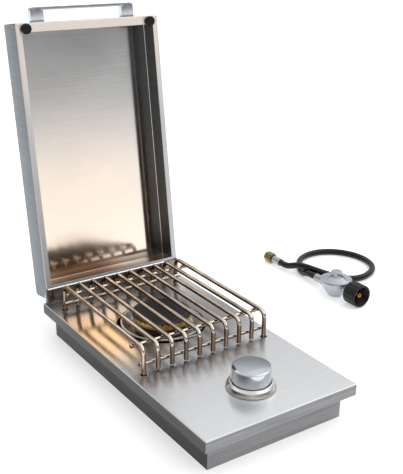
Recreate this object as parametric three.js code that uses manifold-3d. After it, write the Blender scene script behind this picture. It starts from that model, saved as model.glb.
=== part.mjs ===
// Built-in gas side burner: a drop-in steel deck with one burner, a rod grate and a hinged tray lid,
// and the hose with its regulator that feeds it, lying beside it.
// Lengths are millimetres. X runs to the right, Y to the back and Z up from the floor of the housing.
// The lid stands open, which is its rest position.

import * as THREE from 'three';
import { mergeVertices } from 'three/addons/utils/BufferGeometryUtils.js';
import Module from 'manifold-3d';

const wasm = await Module();
wasm.setup();

// Clearances and overruns that every piece shares
const SEAT_GAP = 0.3;
const CUT_OVERRUN = 5;
const WELD_TOLERANCE = 0.0001;
const DEGREE = Math.PI / 180;

// Number of faces round a turned or bent piece
const FINE_SIDES = 32;
const ROUND_SIDES = 20;
const SMALL_SIDES = 12;
const ROD_SIDES = 8;
const HEX_SIDES = 6;
const CORNER_STEPS = 4;

// Deck: a flat plate with an apron folded down all round
const DECK_WIDTH = 305;
const DECK_DEPTH = 560;
const DECK_TOP = 67;
const DECK_SHEET = 1.5;
const APRON_HEIGHT = 20;
const DECK_UNDERSIDE = DECK_TOP - DECK_SHEET;

// Housing: an open box under the deck, with a lip that is spot-welded to the deck
const HOUSING_SIDE_INSET = 16.5;
const HOUSING_END_INSET = 18;
const HOUSING_SHEET = 1;
const HOUSING_LIP = 12;
const HOUSING_WIDTH = DECK_WIDTH - 2 * HOUSING_SIDE_INSET;
const HOUSING_DEPTH = DECK_DEPTH - 2 * HOUSING_END_INSET;
const HOUSING_TOP = DECK_UNDERSIDE - SEAT_GAP;
const VENT_COUNT = 6;
const VENT_LENGTH = 50;
const VENT_SLOT = 6;
const VENT_PITCH = 18;
const VENT_FROM_SIDE = 36;
const VENT_X = HOUSING_WIDTH / 2 - VENT_FROM_SIDE;

// Grate: ten bent rods welded to four cross rods
const ROD_COUNT = 10;
const GRATE_SIDE_INSET = 25.15;
const GRATE_BACK_INSET = 46.5;
const CONTROL_STRIP = 218;
const ROD_RADIUS = 4;
const ROD_BEND = 13;
const ROD_BEND_STEPS = 4;
const ROD_HEIGHT = 49.5;
const INNER_LEG_CLEARANCE = 3;
const CROSS_ROD_RADIUS = 3.5;
const UPPER_CROSS_INSET = 28;
const LOWER_CROSS_HEIGHT = 15;
const UPPER_CROSS_STUB = 5;
const GRATE_FRONT = CONTROL_STRIP - DECK_DEPTH / 2;
const GRATE_BACK = DECK_DEPTH / 2 - GRATE_BACK_INSET;
const GRATE_MIDDLE = (GRATE_FRONT + GRATE_BACK) / 2;
const ROD_LEVEL = DECK_TOP + ROD_HEIGHT;
const OUTER_ROD_X = DECK_WIDTH / 2 - GRATE_SIDE_INSET;
const ROD_PITCH = 2 * OUTER_ROD_X / (ROD_COUNT - 1);

// Wells pressed into the deck, which the four outer legs stand in
const WELL_RADIUS = 6;
const WELL_WALL = 1.2;
const WELL_DEPTH = 8;
const WELL_BOTTOM = DECK_TOP - WELL_DEPTH;

// Burner: a cast bowl with a slotted head ring and a cap, in the middle of the grate
const BURNER_HOLE_RADIUS = 83;
const BOWL_RADIUS = 44;
const BOWL_WALL = 4;
const BOWL_BOTTOM = 27.8;
const BOWL_SHOULDER = 12;
const BOWL_TOP = 76;
const SEAT_FLANGE_RADIUS = 52;
const SEAT_FLANGE_LEVEL = 58;
const SEAT_FLANGE_THICKNESS = 3;
const HEAD_RADIUS = 55;
const HEAD_TOP_RADIUS = 53;
const HEAD_INNER_RADIUS = 38;
const HEAD_WALL_INNER_RADIUS = 47;
const HEAD_FLOOR = 3.7;
const HEAD_CHAMFER = 1.5;
const HEAD_HEIGHT = 11.7;
const PORT_COUNT = 30;
const PORT_WIDTH = 2.4;
const PORT_DEPTH = 4;
const CAP_RADIUS = 56;
const CAP_EDGE = 1.2;
const CAP_SHOULDER_RADIUS = 52;
const CAP_SHOULDER_RISE = 3.4;
const CAP_CROWN_RISE = 5.6;
const CAP_LIP_RADIUS = 46.3;
const CAP_LIP_WALL = 3;
const CAP_LIP_DEPTH = 3.6;
const BOSS_RADIUS = 6.5;
const BOSS_RISE = 11;
const BURNER_SCREW_RADIUS = 2.5;
const BURNER_SCREW_REACH = 8;
const BURNER_SCREW_HEAD_RADIUS = 5;
const BURNER_SCREW_HEAD_HEIGHT = 3.5;

// Drip pan: a dished ring that rests on the bowl's flange and fills the hole in the deck
const PAN_RADIUS = 78;
const PAN_SHEET = 1.2;
const PAN_HOLE_CLEARANCE = 0.8;
const PAN_FLAT_RADIUS = 53;
const PAN_KNEE_RADIUS = 60;
const PAN_KNEE_RISE = 4;
const PAN_RIM_RISE = 8.7;
const PAN_LIP_DROP = 2.6;

// Bracket that carries the bowl over the floor of the housing
const CRADLE_WIDTH = 100;
const CRADLE_DEPTH = 44;
const CRADLE_SHEET = 1.5;
const CRADLE_FOOT = 14;

// Igniter electrode beside the head
const ELECTRODE_ANGLE = 45 * DEGREE;
const ELECTRODE_FROM_AXIS = 61;
const ELECTRODE_RADIUS = 3.5;
const ELECTRODE_BELOW = 8;
const ELECTRODE_TOP = 82;
const ELECTRODE_COLLAR_RADIUS = 5.5;
const ELECTRODE_COLLAR_HEIGHT = 2.7;
const ELECTRODE_EAR_WIDTH = 15;
const ELECTRODE_EAR_END = 7;
const ELECTRODE_HOLE_CLEARANCE = 0.5;
const TIP_RADIUS = 1.1;
const TIP_RISE = 5.5;
const TIP_REACH = 2.6;
const TIP_BEND = 1.6;

// Gas mixing tube from the valve to the bowl
const TUBE_AXIS_HEIGHT = 38;
const SOCKET_RADIUS = 16;
const SOCKET_BORE = 13;
const SOCKET_LENGTH = 16;
const TUBE_WALL = 1.5;
const TUBE_END_RADIUS = 12.6;
const TUBE_INSERTION = 13;
const TUBE_THROAT_RADIUS = 9.5;
const TUBE_MOUTH_RADIUS = 15;
const TUBE_MOUTH_LENGTH = 26;
const TUBE_THROAT_LENGTH = 14;
const TUBE_NOZZLE_CLEARANCE = 1;
const AIR_WINDOW_COUNT = 3;
const AIR_WINDOW_WIDTH = 12;
const AIR_WINDOW_LENGTH = 11;
const SHUTTER_WALL = 1.5;
const SHUTTER_LENGTH = 20;
const SHUTTER_INSET = 3;

// Control knob on its bezel, towards the front of the deck
const KNOB_FROM_FRONT = 90;
const KNOB_Y = KNOB_FROM_FRONT - DECK_DEPTH / 2;
const KNOB_RADIUS = 32.8;
const KNOB_BOTTOM = 9;
const KNOB_TOP = 40;
const KNOB_CHAMFER = 1.6;
const KNOB_WALL = 3;
const KNOB_TOP_THICKNESS = 5;
const KNOB_HUB_RADIUS = 9;
const KNOB_HUB_LIFT = 2;
const POINTER_ANGLE = 161 * DEGREE;
const POINTER_FROM_AXIS = 28.9;
const POINTER_DEPTH = 5;
const POINTER_WIDTH = 16;
const STEM_RADIUS = 4;
const STEM_BELOW_KNOB_TOP = 8;
const STEM_CLEARANCE = 0.3;
const BEZEL_RADIUS = 42.5;
const BEZEL_EDGE = 1.5;
const BEZEL_SHOULDER_RADIUS = 41.5;
const BEZEL_SHOULDER_HEIGHT = 4.5;
const BEZEL_SLOPE_RADIUS = 39;
const BEZEL_SLOPE_HEIGHT = 8.5;
const BEZEL_RIM_RADIUS = 35;
const BEZEL_RIM_HEIGHT = 12.5;
const BEZEL_KNOB_CLEARANCE = 1.4;
const BEZEL_FLOOR = 3;
const BEZEL_HOLE_RADIUS = 7;

// Gas valve under the knob, held to the deck by two screws down through the bezel's floor
const VALVE_SCREW_FROM_AXIS = 16;
const VALVE_SCREW_RADIUS = 2;
const VALVE_SCREW_HEAD_RADIUS = 3.6;
const VALVE_SCREW_HEAD_HEIGHT = 2.2;
const SCREW_CLEARANCE = 0.4;
const VALVE_RADIUS = 12;
const VALVE_BOTTOM = 24;
const VALVE_FLOOR = 3.5;
const VALVE_CAP_THICKNESS = 2.7;
const VALVE_FLANGE_WIDTH = 44;
const VALVE_FLANGE_DEPTH = 24;
const VALVE_FLANGE_THICKNESS = 3.7;
const PLUG_RADIUS = 8;
const PLUG_TOP = 58;
const PLUG_SOCKET_DEPTH = 12;
const SPRING_LENGTH = 5.7;
const SPRING_RADIUS = 3.4;
const SPRING_BORE = 2.2;
const INLET_HEIGHT = 32;
const INLET_BOSS_RADIUS = 7;
const INLET_BOSS_LENGTH = 14;
const INLET_BORE = 3;
const OUTLET_BOSS_RADIUS = 7;
const OUTLET_BOSS_LENGTH = 10;
const OUTLET_THREAD_DEPTH = 7;
const ORIFICE_THREAD_RADIUS = 4;
const ORIFICE_HEX_RADIUS = 6.5;
const ORIFICE_HEX_LENGTH = 5;
const ORIFICE_NOZZLE_RADIUS = 4;
const ORIFICE_NOZZLE_LENGTH = 10;
const ORIFICE_BORE = 1;
const NOZZLE_INSERTION = 6;
const MODULE_WIDTH = 20;
const MODULE_DEPTH = 24;
const MODULE_HEIGHT = 18;

// Feed pipe inside the housing and the inlet through its back wall
const PIPE_FROM_SIDE = 31;
const PIPE_X = HOUSING_WIDTH / 2 - PIPE_FROM_SIDE;
const PIPE_RADIUS = 5;
const PIPE_BORE = 3.6;
const PIPE_BEND = 25;
const PIPE_BEND_STEPS = 6;
const PIPE_NUT_RADIUS = 10.5;
const PIPE_NUT_LENGTH = 12;
const FITTING_HEX_RADIUS = 11.5;
const FITTING_HEX_LENGTH = 16;
const FITTING_TAIL_RADIUS = 7.5;
const FITTING_TAIL_LENGTH = 8;
const FITTING_THREAD_RADIUS = 8;
const FITTING_THREAD_REACH = 15;
const FITTING_BORE = 4;
const LOCKNUT_RADIUS = 12.5;
const LOCKNUT_THICKNESS = 5;

// Ignition wire that lies in the housing
const WIRE_RADIUS = 1.5;
const WIRE_STEPS = 36;

// Lid: a tray whose side walls run past its hinge wall as ears
const LID_FRONT_INSET = 37.5;
const LID_SIDE_INSET = 2;
const LID_LENGTH = DECK_DEPTH - LID_FRONT_INSET;
const LID_WIDTH = DECK_WIDTH - 2 * LID_SIDE_INSET;
const LID_DEPTH = 54.6;
const LID_SHEET = 1.5;
const LID_SIDE_FLANGE = 10;
const LID_FRONT_FLANGE = 17;
const LID_BACK_FLANGE = 6;
const LID_EAR_LENGTH = 20;
const LID_LEAN = 9 * DEGREE;
const HINGE_FROM_BACK = 10.5;
const HINGE_Y = DECK_DEPTH / 2 - HINGE_FROM_BACK;
const HINGE_HEIGHT = 17.8;
const PIN_FROM_EAR_END = 5;
const PIN_FROM_RIM = 6;
const PIN_RADIUS = 2.5;
const PIN_HEAD_RADIUS = 5;
const PIN_HEAD_THICKNESS = 1.2;
const PIN_TAIL_RADIUS = 3.6;
const LID_HINGE_WALL = LID_EAR_LENGTH - PIN_FROM_EAR_END;

// Bracket on the deck that holds the hinge pins and stops the open lid
const HINGE_BRACKET_SHEET = 1.5;
const HINGE_BRACKET_FRONT = 5.5;
const HINGE_BRACKET_BACK = 6;
const HINGE_BRACKET_RISE = 7;
const HINGE_BRACKET_FOOT = 12;
const HINGE_SIDE_CLEARANCE = 0.8;
const STOP_LENGTH = 5;

// Lid handle and the two screws that hold it
const HANDLE_FROM_SIDE = 41.5;
const HANDLE_WIDTH = LID_WIDTH - 2 * HANDLE_FROM_SIDE;
const HANDLE_LEG = 26;
const HANDLE_RISE = 27;
const HANDLE_GRIP = 6;
const HANDLE_DEPTH = 12;
const HANDLE_CORNER = 6;
const HANDLE_INNER_CORNER = 2;
const HANDLE_SCREW_RADIUS = 2.2;
const HANDLE_SCREW_GRIP = 12;
const HANDLE_SCREW_HEAD_RADIUS = 4.5;
const HANDLE_SCREW_HEAD_HEIGHT = 2.4;

// Rubber bumpers at the lid's front corners
const BUMPER_RADIUS = 9.8;
const BUMPER_RISE = 8;
const BUMPER_EDGE = 1.2;
const BUMPER_FROM_SIDE = 19.5;
const BUMPER_FROM_FRONT = 11;
const BUMPER_STEM_RADIUS = 3;
const BUMPER_BARB_RADIUS = 4.6;
const BUMPER_BARB_HEIGHT = 2;

// Regulator that lies on the floor beside the burner, with its tank nut towards the front
const REGULATOR_X = 468;
const REGULATOR_Y = 107;
const REGULATOR_INLET_HEIGHT = 26;
const REGULATOR_OUTLET_HEIGHT = 18;
const REGULATOR_FOOT_RADIUS = 16;
const REGULATOR_FOOT_HEIGHT = 6;
const REGULATOR_BOWL_RADIUS = 32;
const REGULATOR_FLANGE_RADIUS = 35;
const REGULATOR_FLANGE_LEVEL = 33;
const REGULATOR_FLANGE_THICKNESS = 3;
const REGULATOR_BOSS_RADIUS = 9;
const REGULATOR_BOSS_REACH = 40;
const REGULATOR_PORT_RADIUS = 4;
const BONNET_RIM = 2.7;
const BONNET_STEP_RADIUS = 31;
const BONNET_CONE_RADIUS = 15;
const BONNET_CONE_RISE = 8;
const BONNET_BOSS_RADIUS = 12;
const BONNET_BOSS_RISE = 10;
const BONNET_BOSS_CHAMFER = 1.5;

// Tank nut and the brass nipple that it turns on
const TANK_NUT_RADIUS = 25;
const TANK_NUT_LENGTH = 36;
const TANK_NUT_WALL = 5;
const TANK_NUT_BACK_WALL = 5;
const TANK_NUT_FLUTES = 12;
const FLUTE_RADIUS = 3;
const FLUTE_DEPTH = 1.4;
const TANK_NUT_STANDOFF = 5;
const NIPPLE_RADIUS = 7.5;
const NIPPLE_COLLAR_RADIUS = 11;
const NIPPLE_COLLAR_LENGTH = 4;
const NIPPLE_NOSE_RADIUS = 6.3;
const NIPPLE_NOSE_LENGTH = 20;
const NIPPLE_TIP_RADIUS = 4.6;
const NIPPLE_TIP_LENGTH = 3;
const NIPPLE_BORE = 2.4;

// Hose with its crimped sleeves, and the flare nut on its far end
const HOSE_RADIUS = 7.5;
const HOSE_STEPS = 34;
const HOSE_SIDES = 10;
const SLEEVE_RADIUS = 8.8;
const SLEEVE_LENGTH = 24;
const FLARE_X = 462;
const FLARE_NUT_RADIUS = 12.7;
const FLARE_NUT_LENGTH = 22;
const FLARE_NUT_CAVITY = 8.6;
const FLARE_NUT_BACK_WALL = 6;
const FLARE_TAIL_RADIUS = 6.4;
const FLARE_TAIL_LENGTH = 16;
const FLARE_COLLAR_RADIUS = 8;
const FLARE_COLLAR_LENGTH = 3;
const FLARE_NUT_STANDOFF = 4;
const HOSE_END_Y = 290;
const FLARE_HEIGHT = FLARE_NUT_RADIUS + SEAT_GAP;
const HOSE_START_Y = REGULATOR_Y + REGULATOR_BOSS_REACH + SLEEVE_LENGTH + 2 * SEAT_GAP;

// Route of the hose from the regulator to the flare nut, along the floor and once over itself
const HOSE_ROUTE = [
  [REGULATOR_X, HOSE_START_Y, REGULATOR_OUTLET_HEIGHT],
  [468, 187, 18],
  [468.6, 199, 16.8],
  [470.5, 211, 13],
  [474, 223, 9],
  [479, 236, 7.8],
  [488, 252, 7.8],
  [502, 270, 7.8],
  [522, 288, 7.8],
  [547, 299.5, 7.8],
  [575, 303, 7.8],
  [603, 297, 7.8],
  [629, 280, 7.8],
  [647, 255, 7.8],
  [655.5, 226, 7.8],
  [654, 197, 7.8],
  [643, 170, 7.8],
  [623, 149, 7.8],
  [598, 136.5, 7.8],
  [570, 132, 7.8],
  [543, 138, 8.8],
  [518, 152, 13],
  [498, 173, 19],
  [482.5, 199, 23.8],
  [473.5, 222, 25.2],
  [468.5, 237, 23.4],
  [465, 251, 18.5],
  [463, 263, 14.5],
  [FLARE_X, 275, FLARE_HEIGHT],
  [FLARE_X, HOSE_END_Y, FLARE_HEIGHT],
];

// Route of the ignition wire: its first points are taken from the knob's axis, the others from the burner's
const WIRE_FROM_KNOB = [
  [-46, 0, 46],
  [-58, 8, 34],
  [-65, 25, 20],
  [-69, 45, 10],
  [-69.5, 75, 5.5],
];
const WIRE_FROM_BURNER = [
  [-69.5, -120.75, 4.5],
  [-69.5, -80.75, 4.5],
  [-69.5, -40.75, 4.5],
  [-69.5, 4.25, 4.5],
  [-67, 36.25, 4.5],
  [-54, 60.25, 4.5],
  [-32, 74.25, 5],
  [-8, 78.25, 9],
  [14, 75.25, 17],
  [32, 64.25, 27],
  [41, 52.25, 37],
];
const WIRE_ROUTE = [
  ...WIRE_FROM_KNOB.map(([x, y, z]) => [x, KNOB_Y + y, z]),
  ...WIRE_FROM_BURNER.map(([x, y, z]) => [x, GRATE_MIDDLE + y, z]),
];
const WIRE_RISE = 6;

// Finishes of the real piece, as the maker would name them
const finish = (color, roughness, metalness) =>
  new THREE.MeshStandardMaterial({ color, roughness, metalness });
const BRUSHED_STEEL = finish(0xc9cacc, 0.35, 1);
const POLISHED_STEEL = finish(0xd4d6da, 0.15, 1);
const TINTED_STEEL = finish(0xb09a82, 0.25, 1);
const ZINC_STEEL = finish(0xb9bcc0, 0.4, 1);
const CAST_STEEL = finish(0x8f9092, 0.6, 1);
const BRASS = finish(0xc9a45c, 0.3, 1);
const ALUMINIUM = finish(0xb5bac2, 0.45, 1);
const BLACK_RUBBER = finish(0x1a1816, 0.8, 0);
const BLACK_PLASTIC = finish(0x17191c, 0.5, 0);
const CERAMIC = finish(0xe8e4da, 0.4, 0);

// A closed solid from a geometry, with its shared corners merged and its faces turned outwards
function solid(geometry) {
  const bare = geometry.clone();
  bare.deleteAttribute('normal');
  bare.deleteAttribute('uv');
  const merged = mergeVertices(bare, WELD_TOLERANCE);
  const corners = merged.attributes.position.array;
  const faces = [];
  let signedVolume = 0;
  const corner = (index) => new THREE.Vector3().fromArray(corners, index * 3);
  for (let face = 0; face < merged.index.count; face += 3) {
    const [a, b, c] = merged.index.array.slice(face, face + 3);
    if (a === b || b === c || c === a) continue;
    faces.push([a, b, c]);
    signedVolume += corner(a).dot(corner(b).cross(corner(c)));
  }
  const outward = signedVolume > 0 ? faces : faces.map(([a, b, c]) => [a, c, b]);
  const triVerts = new Uint32Array(outward.flat());
  return new wasm.Manifold(new wasm.Mesh({ numProp: 3, vertProperties: corners, triVerts }));
}

const join = (first, ...others) => others.reduce((sum, other) => sum.add(other), first);
const cut = (first, ...others) => others.reduce((rest, other) => rest.subtract(other), first);

// A block between its lowest and its highest corner, turned about Z
function turnedBlock(low, high, angle) {
  const size = high.map((value, axis) => value - low[axis]);
  const middle = high.map((value, axis) => (value + low[axis]) / 2);
  return solid(new THREE.BoxGeometry(...size).translate(...middle).rotateZ(angle));
}

const block = (low, high) => turnedBlock(low, high, 0);

// A round or many-sided bar between two points
function bar(start, end, radius, sides = ROUND_SIDES) {
  const from = new THREE.Vector3(...start);
  const run = new THREE.Vector3(...end).sub(from);
  const direction = run.clone().normalize();
  const along = new THREE.Quaternion().setFromUnitVectors(new THREE.Vector3(0, 1, 0), direction);
  const geometry = new THREE.CylinderGeometry(radius, radius, run.length(), sides);
  return solid(geometry.applyQuaternion(along).translate(...from.add(run.multiplyScalar(0.5)).toArray()));
}

// A piece turned about Z, from pairs of radius and height
function turned(profile, sides = FINE_SIDES) {
  const outline = profile.map(([radius, height]) => new THREE.Vector2(radius, height));
  return solid(new THREE.LatheGeometry(outline, sides).rotateX(Math.PI / 2));
}

// A piece turned about Y, from pairs of radius and place along Y
function turnedAlongY(profile, sides = ROUND_SIDES) {
  const outline = profile.map(([radius, place]) => new THREE.Vector2(radius, place));
  return solid(new THREE.LatheGeometry(outline, sides));
}

// Closes a turned ring's profile on itself
const ring = (profile) => [...profile, profile[0]];

// Points along a wire that runs straight between its corners and turns each of them on an arc
function bentWire(corners, bendRadius, bendSteps) {
  const places = corners.map((place) => new THREE.Vector3(...place));
  const points = [places[0]];
  for (let turn = 1; turn < places.length - 1; turn++) {
    const back = places[turn - 1].clone().sub(places[turn]).normalize();
    const onward = places[turn + 1].clone().sub(places[turn]).normalize();
    const halfAngle = back.angleTo(onward) / 2;
    const setback = bendRadius / Math.tan(halfAngle);
    const centre = back.clone().add(onward).normalize().multiplyScalar(bendRadius / Math.sin(halfAngle));
    centre.add(places[turn]);
    const spoke = back.clone().multiplyScalar(setback).add(places[turn]).sub(centre);
    const lastSpoke = onward.clone().multiplyScalar(setback).add(places[turn]).sub(centre);
    const axis = spoke.clone().cross(lastSpoke).normalize();
    const sweep = spoke.angleTo(lastSpoke);
    for (let step = 0; step <= bendSteps; step++) {
      points.push(spoke.clone().applyAxisAngle(axis, sweep * step / bendSteps).add(centre));
    }
  }
  points.push(places[places.length - 1]);
  return points;
}

// A path that passes each of its points at an even share of its parameter
class WirePath extends THREE.Curve {
  constructor(points) {
    super();
    this.points = points;
  }

  getUtoTmapping(share) {
    return share;
  }

  getPoint(share, target = new THREE.Vector3()) {
    const place = share * (this.points.length - 1);
    const first = Math.min(Math.floor(place), this.points.length - 2);
    return target.lerpVectors(this.points[first], this.points[first + 1], place - first);
  }
}

const circle = (radius, sides) => Array.from({ length: sides }, (_, side) => {
  const angle = 2 * Math.PI * side / sides;
  return new THREE.Vector2(radius * Math.cos(angle), radius * Math.sin(angle));
});

// A wire, or a pipe where it has a bore, drawn along a path
function drawn(path, steps, radius, sides, bore = 0) {
  const section = new THREE.Shape(circle(radius, sides));
  if (bore > 0) section.holes.push(new THREE.Path(circle(bore, sides)));
  return solid(new THREE.ExtrudeGeometry(section, { steps, extrudePath: path, bevelEnabled: false }));
}

function drawnThrough(points, radius, sides, bore = 0) {
  return drawn(new WirePath(points), points.length - 1, radius, sides, bore);
}

// A plate cut from an outline in a plane and given a thickness along X
function plateAlongX(outline, x, thickness) {
  const shape = new THREE.Shape(outline.map(([y, z]) => new THREE.Vector2(y, z)));
  const plate = new THREE.ExtrudeGeometry(shape, { depth: thickness, bevelEnabled: false });
  const turn = new THREE.Matrix4().makeBasis(
    new THREE.Vector3(0, 1, 0), new THREE.Vector3(0, 0, 1), new THREE.Vector3(1, 0, 0));
  return solid(plate.applyMatrix4(turn).translate(x, 0, 0));
}

// A named piece from its solid
function piece(name, shape, material, parent) {
  const { vertProperties, triVerts } = shape.getMesh();
  const geometry = new THREE.BufferGeometry();
  geometry.setAttribute('position', new THREE.BufferAttribute(new Float32Array(vertProperties), 3));
  geometry.setIndex(new THREE.BufferAttribute(new Uint32Array(triVerts), 1));
  geometry.computeVertexNormals();
  const mesh = new THREE.Mesh(geometry, material);
  mesh.name = name;
  parent.add(mesh);
  return mesh;
}

const both = [-1, 1];
const LEG_PLACES = both.flatMap((side) => [GRATE_FRONT, GRATE_BACK].map((y) => [side * OUTER_ROD_X, y]));
const BURNER_Y = GRATE_MIDDLE;

// Deck plate with its apron and its holes
function makeDeck(parent) {
  const halfWidth = DECK_WIDTH / 2;
  const halfDepth = DECK_DEPTH / 2;
  const apronBottom = DECK_TOP - APRON_HEIGHT;
  const tray = cut(
    block([-halfWidth, -halfDepth, apronBottom], [halfWidth, halfDepth, DECK_TOP]),
    block([DECK_SHEET - halfWidth, DECK_SHEET - halfDepth, apronBottom - CUT_OVERRUN],
      [halfWidth - DECK_SHEET, halfDepth - DECK_SHEET, DECK_UNDERSIDE]));
  const drill = (x, y, radius, sides) =>
    bar([x, y, DECK_UNDERSIDE - CUT_OVERRUN], [x, y, DECK_TOP + CUT_OVERRUN], radius, sides);
  const holes = [
    drill(0, BURNER_Y, BURNER_HOLE_RADIUS, FINE_SIDES),
    drill(0, KNOB_Y, BEZEL_HOLE_RADIUS, SMALL_SIDES),
    ...both.map((side) =>
      drill(side * VALVE_SCREW_FROM_AXIS, KNOB_Y, VALVE_SCREW_RADIUS + SCREW_CLEARANCE, ROD_SIDES)),
  ];
  const wells = LEG_PLACES.map(([x, y]) =>
    bar([x, y, WELL_BOTTOM - WELL_WALL], [x, y, DECK_TOP - DECK_SHEET / 2],
      WELL_RADIUS + WELL_WALL, SMALL_SIDES));
  const wellHollows = LEG_PLACES.map(([x, y]) =>
    bar([x, y, WELL_BOTTOM], [x, y, DECK_TOP + CUT_OVERRUN], WELL_RADIUS, SMALL_SIDES));
  piece('deck_plate', cut(join(tray, ...wells), ...holes, ...wellHollows), BRUSHED_STEEL, parent);
}

// Housing box with its lip, its floor vents and the hole for the gas inlet
function makeHousing(parent) {
  const halfWidth = HOUSING_WIDTH / 2;
  const halfDepth = HOUSING_DEPTH / 2;
  const shell = join(
    block([-halfWidth, -halfDepth, 0], [halfWidth, halfDepth, HOUSING_TOP]),
    block([-halfWidth - HOUSING_LIP, -halfDepth - HOUSING_LIP, HOUSING_TOP - HOUSING_SHEET],
      [halfWidth + HOUSING_LIP, halfDepth + HOUSING_LIP, HOUSING_TOP]));
  const hollow = block([HOUSING_SHEET - halfWidth, HOUSING_SHEET - halfDepth, HOUSING_SHEET],
    [halfWidth - HOUSING_SHEET, halfDepth - HOUSING_SHEET, HOUSING_TOP + CUT_OVERRUN]);
  const vents = [];
  for (const side of both) {
    for (let row = 0; row < VENT_COUNT; row++) {
      const x = side * VENT_X;
      const y = BURNER_Y + (row - (VENT_COUNT - 1) / 2) * VENT_PITCH;
      vents.push(block([x - VENT_LENGTH / 2, y - VENT_SLOT / 2, -CUT_OVERRUN],
        [x + VENT_LENGTH / 2, y + VENT_SLOT / 2, HOUSING_SHEET + CUT_OVERRUN]));
    }
  }
  const inlet = bar(
    [PIPE_X, halfDepth - CUT_OVERRUN, INLET_HEIGHT], [PIPE_X, halfDepth + CUT_OVERRUN, INLET_HEIGHT],
    FITTING_THREAD_RADIUS + SCREW_CLEARANCE, SMALL_SIDES);
  piece('housing_box', cut(shell, hollow, ...vents, inlet), BRUSHED_STEEL, parent);
}

// Grate rods, whose outer legs stand in the deck's wells
function makeGrate(parent) {
  const outerLegEnd = WELL_BOTTOM + SEAT_GAP;
  const innerLegEnd = DECK_TOP + INNER_LEG_CLEARANCE;
  for (let index = 0; index < ROD_COUNT; index++) {
    const x = index * ROD_PITCH - OUTER_ROD_X;
    const outer = index === 0 || index === ROD_COUNT - 1;
    const legEnd = outer ? outerLegEnd : innerLegEnd;
    const corners = [[x, GRATE_FRONT, legEnd], [x, GRATE_FRONT, ROD_LEVEL], [x, GRATE_BACK, ROD_LEVEL],
      [x, GRATE_BACK, legEnd]];
    const wire = bentWire(corners, ROD_BEND, ROD_BEND_STEPS);
    const label = String(index + 1).padStart(2, '0');
    piece(`grate_rod_${label}`, drawnThrough(wire, ROD_RADIUS, ROD_SIDES), TINTED_STEEL, parent);
  }
  const touch = ROD_RADIUS + SEAT_GAP + CROSS_ROD_RADIUS;
  const upperHalf = OUTER_ROD_X + ROD_RADIUS + UPPER_CROSS_STUB;
  const lowerHalf = OUTER_ROD_X + ROD_RADIUS;
  const crossRods = [
    ['grate_cross_rod_upper_front', upperHalf, GRATE_FRONT + UPPER_CROSS_INSET, ROD_LEVEL - touch],
    ['grate_cross_rod_upper_back', upperHalf, GRATE_BACK - UPPER_CROSS_INSET, ROD_LEVEL - touch],
    ['grate_cross_rod_lower_front', lowerHalf, GRATE_FRONT + touch, DECK_TOP + LOWER_CROSS_HEIGHT],
    ['grate_cross_rod_lower_back', lowerHalf, GRATE_BACK - touch, DECK_TOP + LOWER_CROSS_HEIGHT],
  ];
  for (const [name, half, y, z] of crossRods) {
    piece(name, bar([-half, y, z], [half, y, z], CROSS_ROD_RADIUS, ROD_SIDES), TINTED_STEEL, parent);
  }
}

// Cast bowl of the burner, with its inlet socket, seat flange, screw bosses and electrode ear
const HEAD_LEVEL = BOWL_TOP + SEAT_GAP;
const SEAT_TOP = SEAT_FLANGE_LEVEL + SEAT_FLANGE_THICKNESS;
const ELECTRODE_X = ELECTRODE_FROM_AXIS * Math.cos(ELECTRODE_ANGLE);
const ELECTRODE_Y = BURNER_Y + ELECTRODE_FROM_AXIS * Math.sin(ELECTRODE_ANGLE);
const SOCKET_FRONT = BURNER_Y - BOWL_RADIUS - SOCKET_LENGTH;

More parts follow.
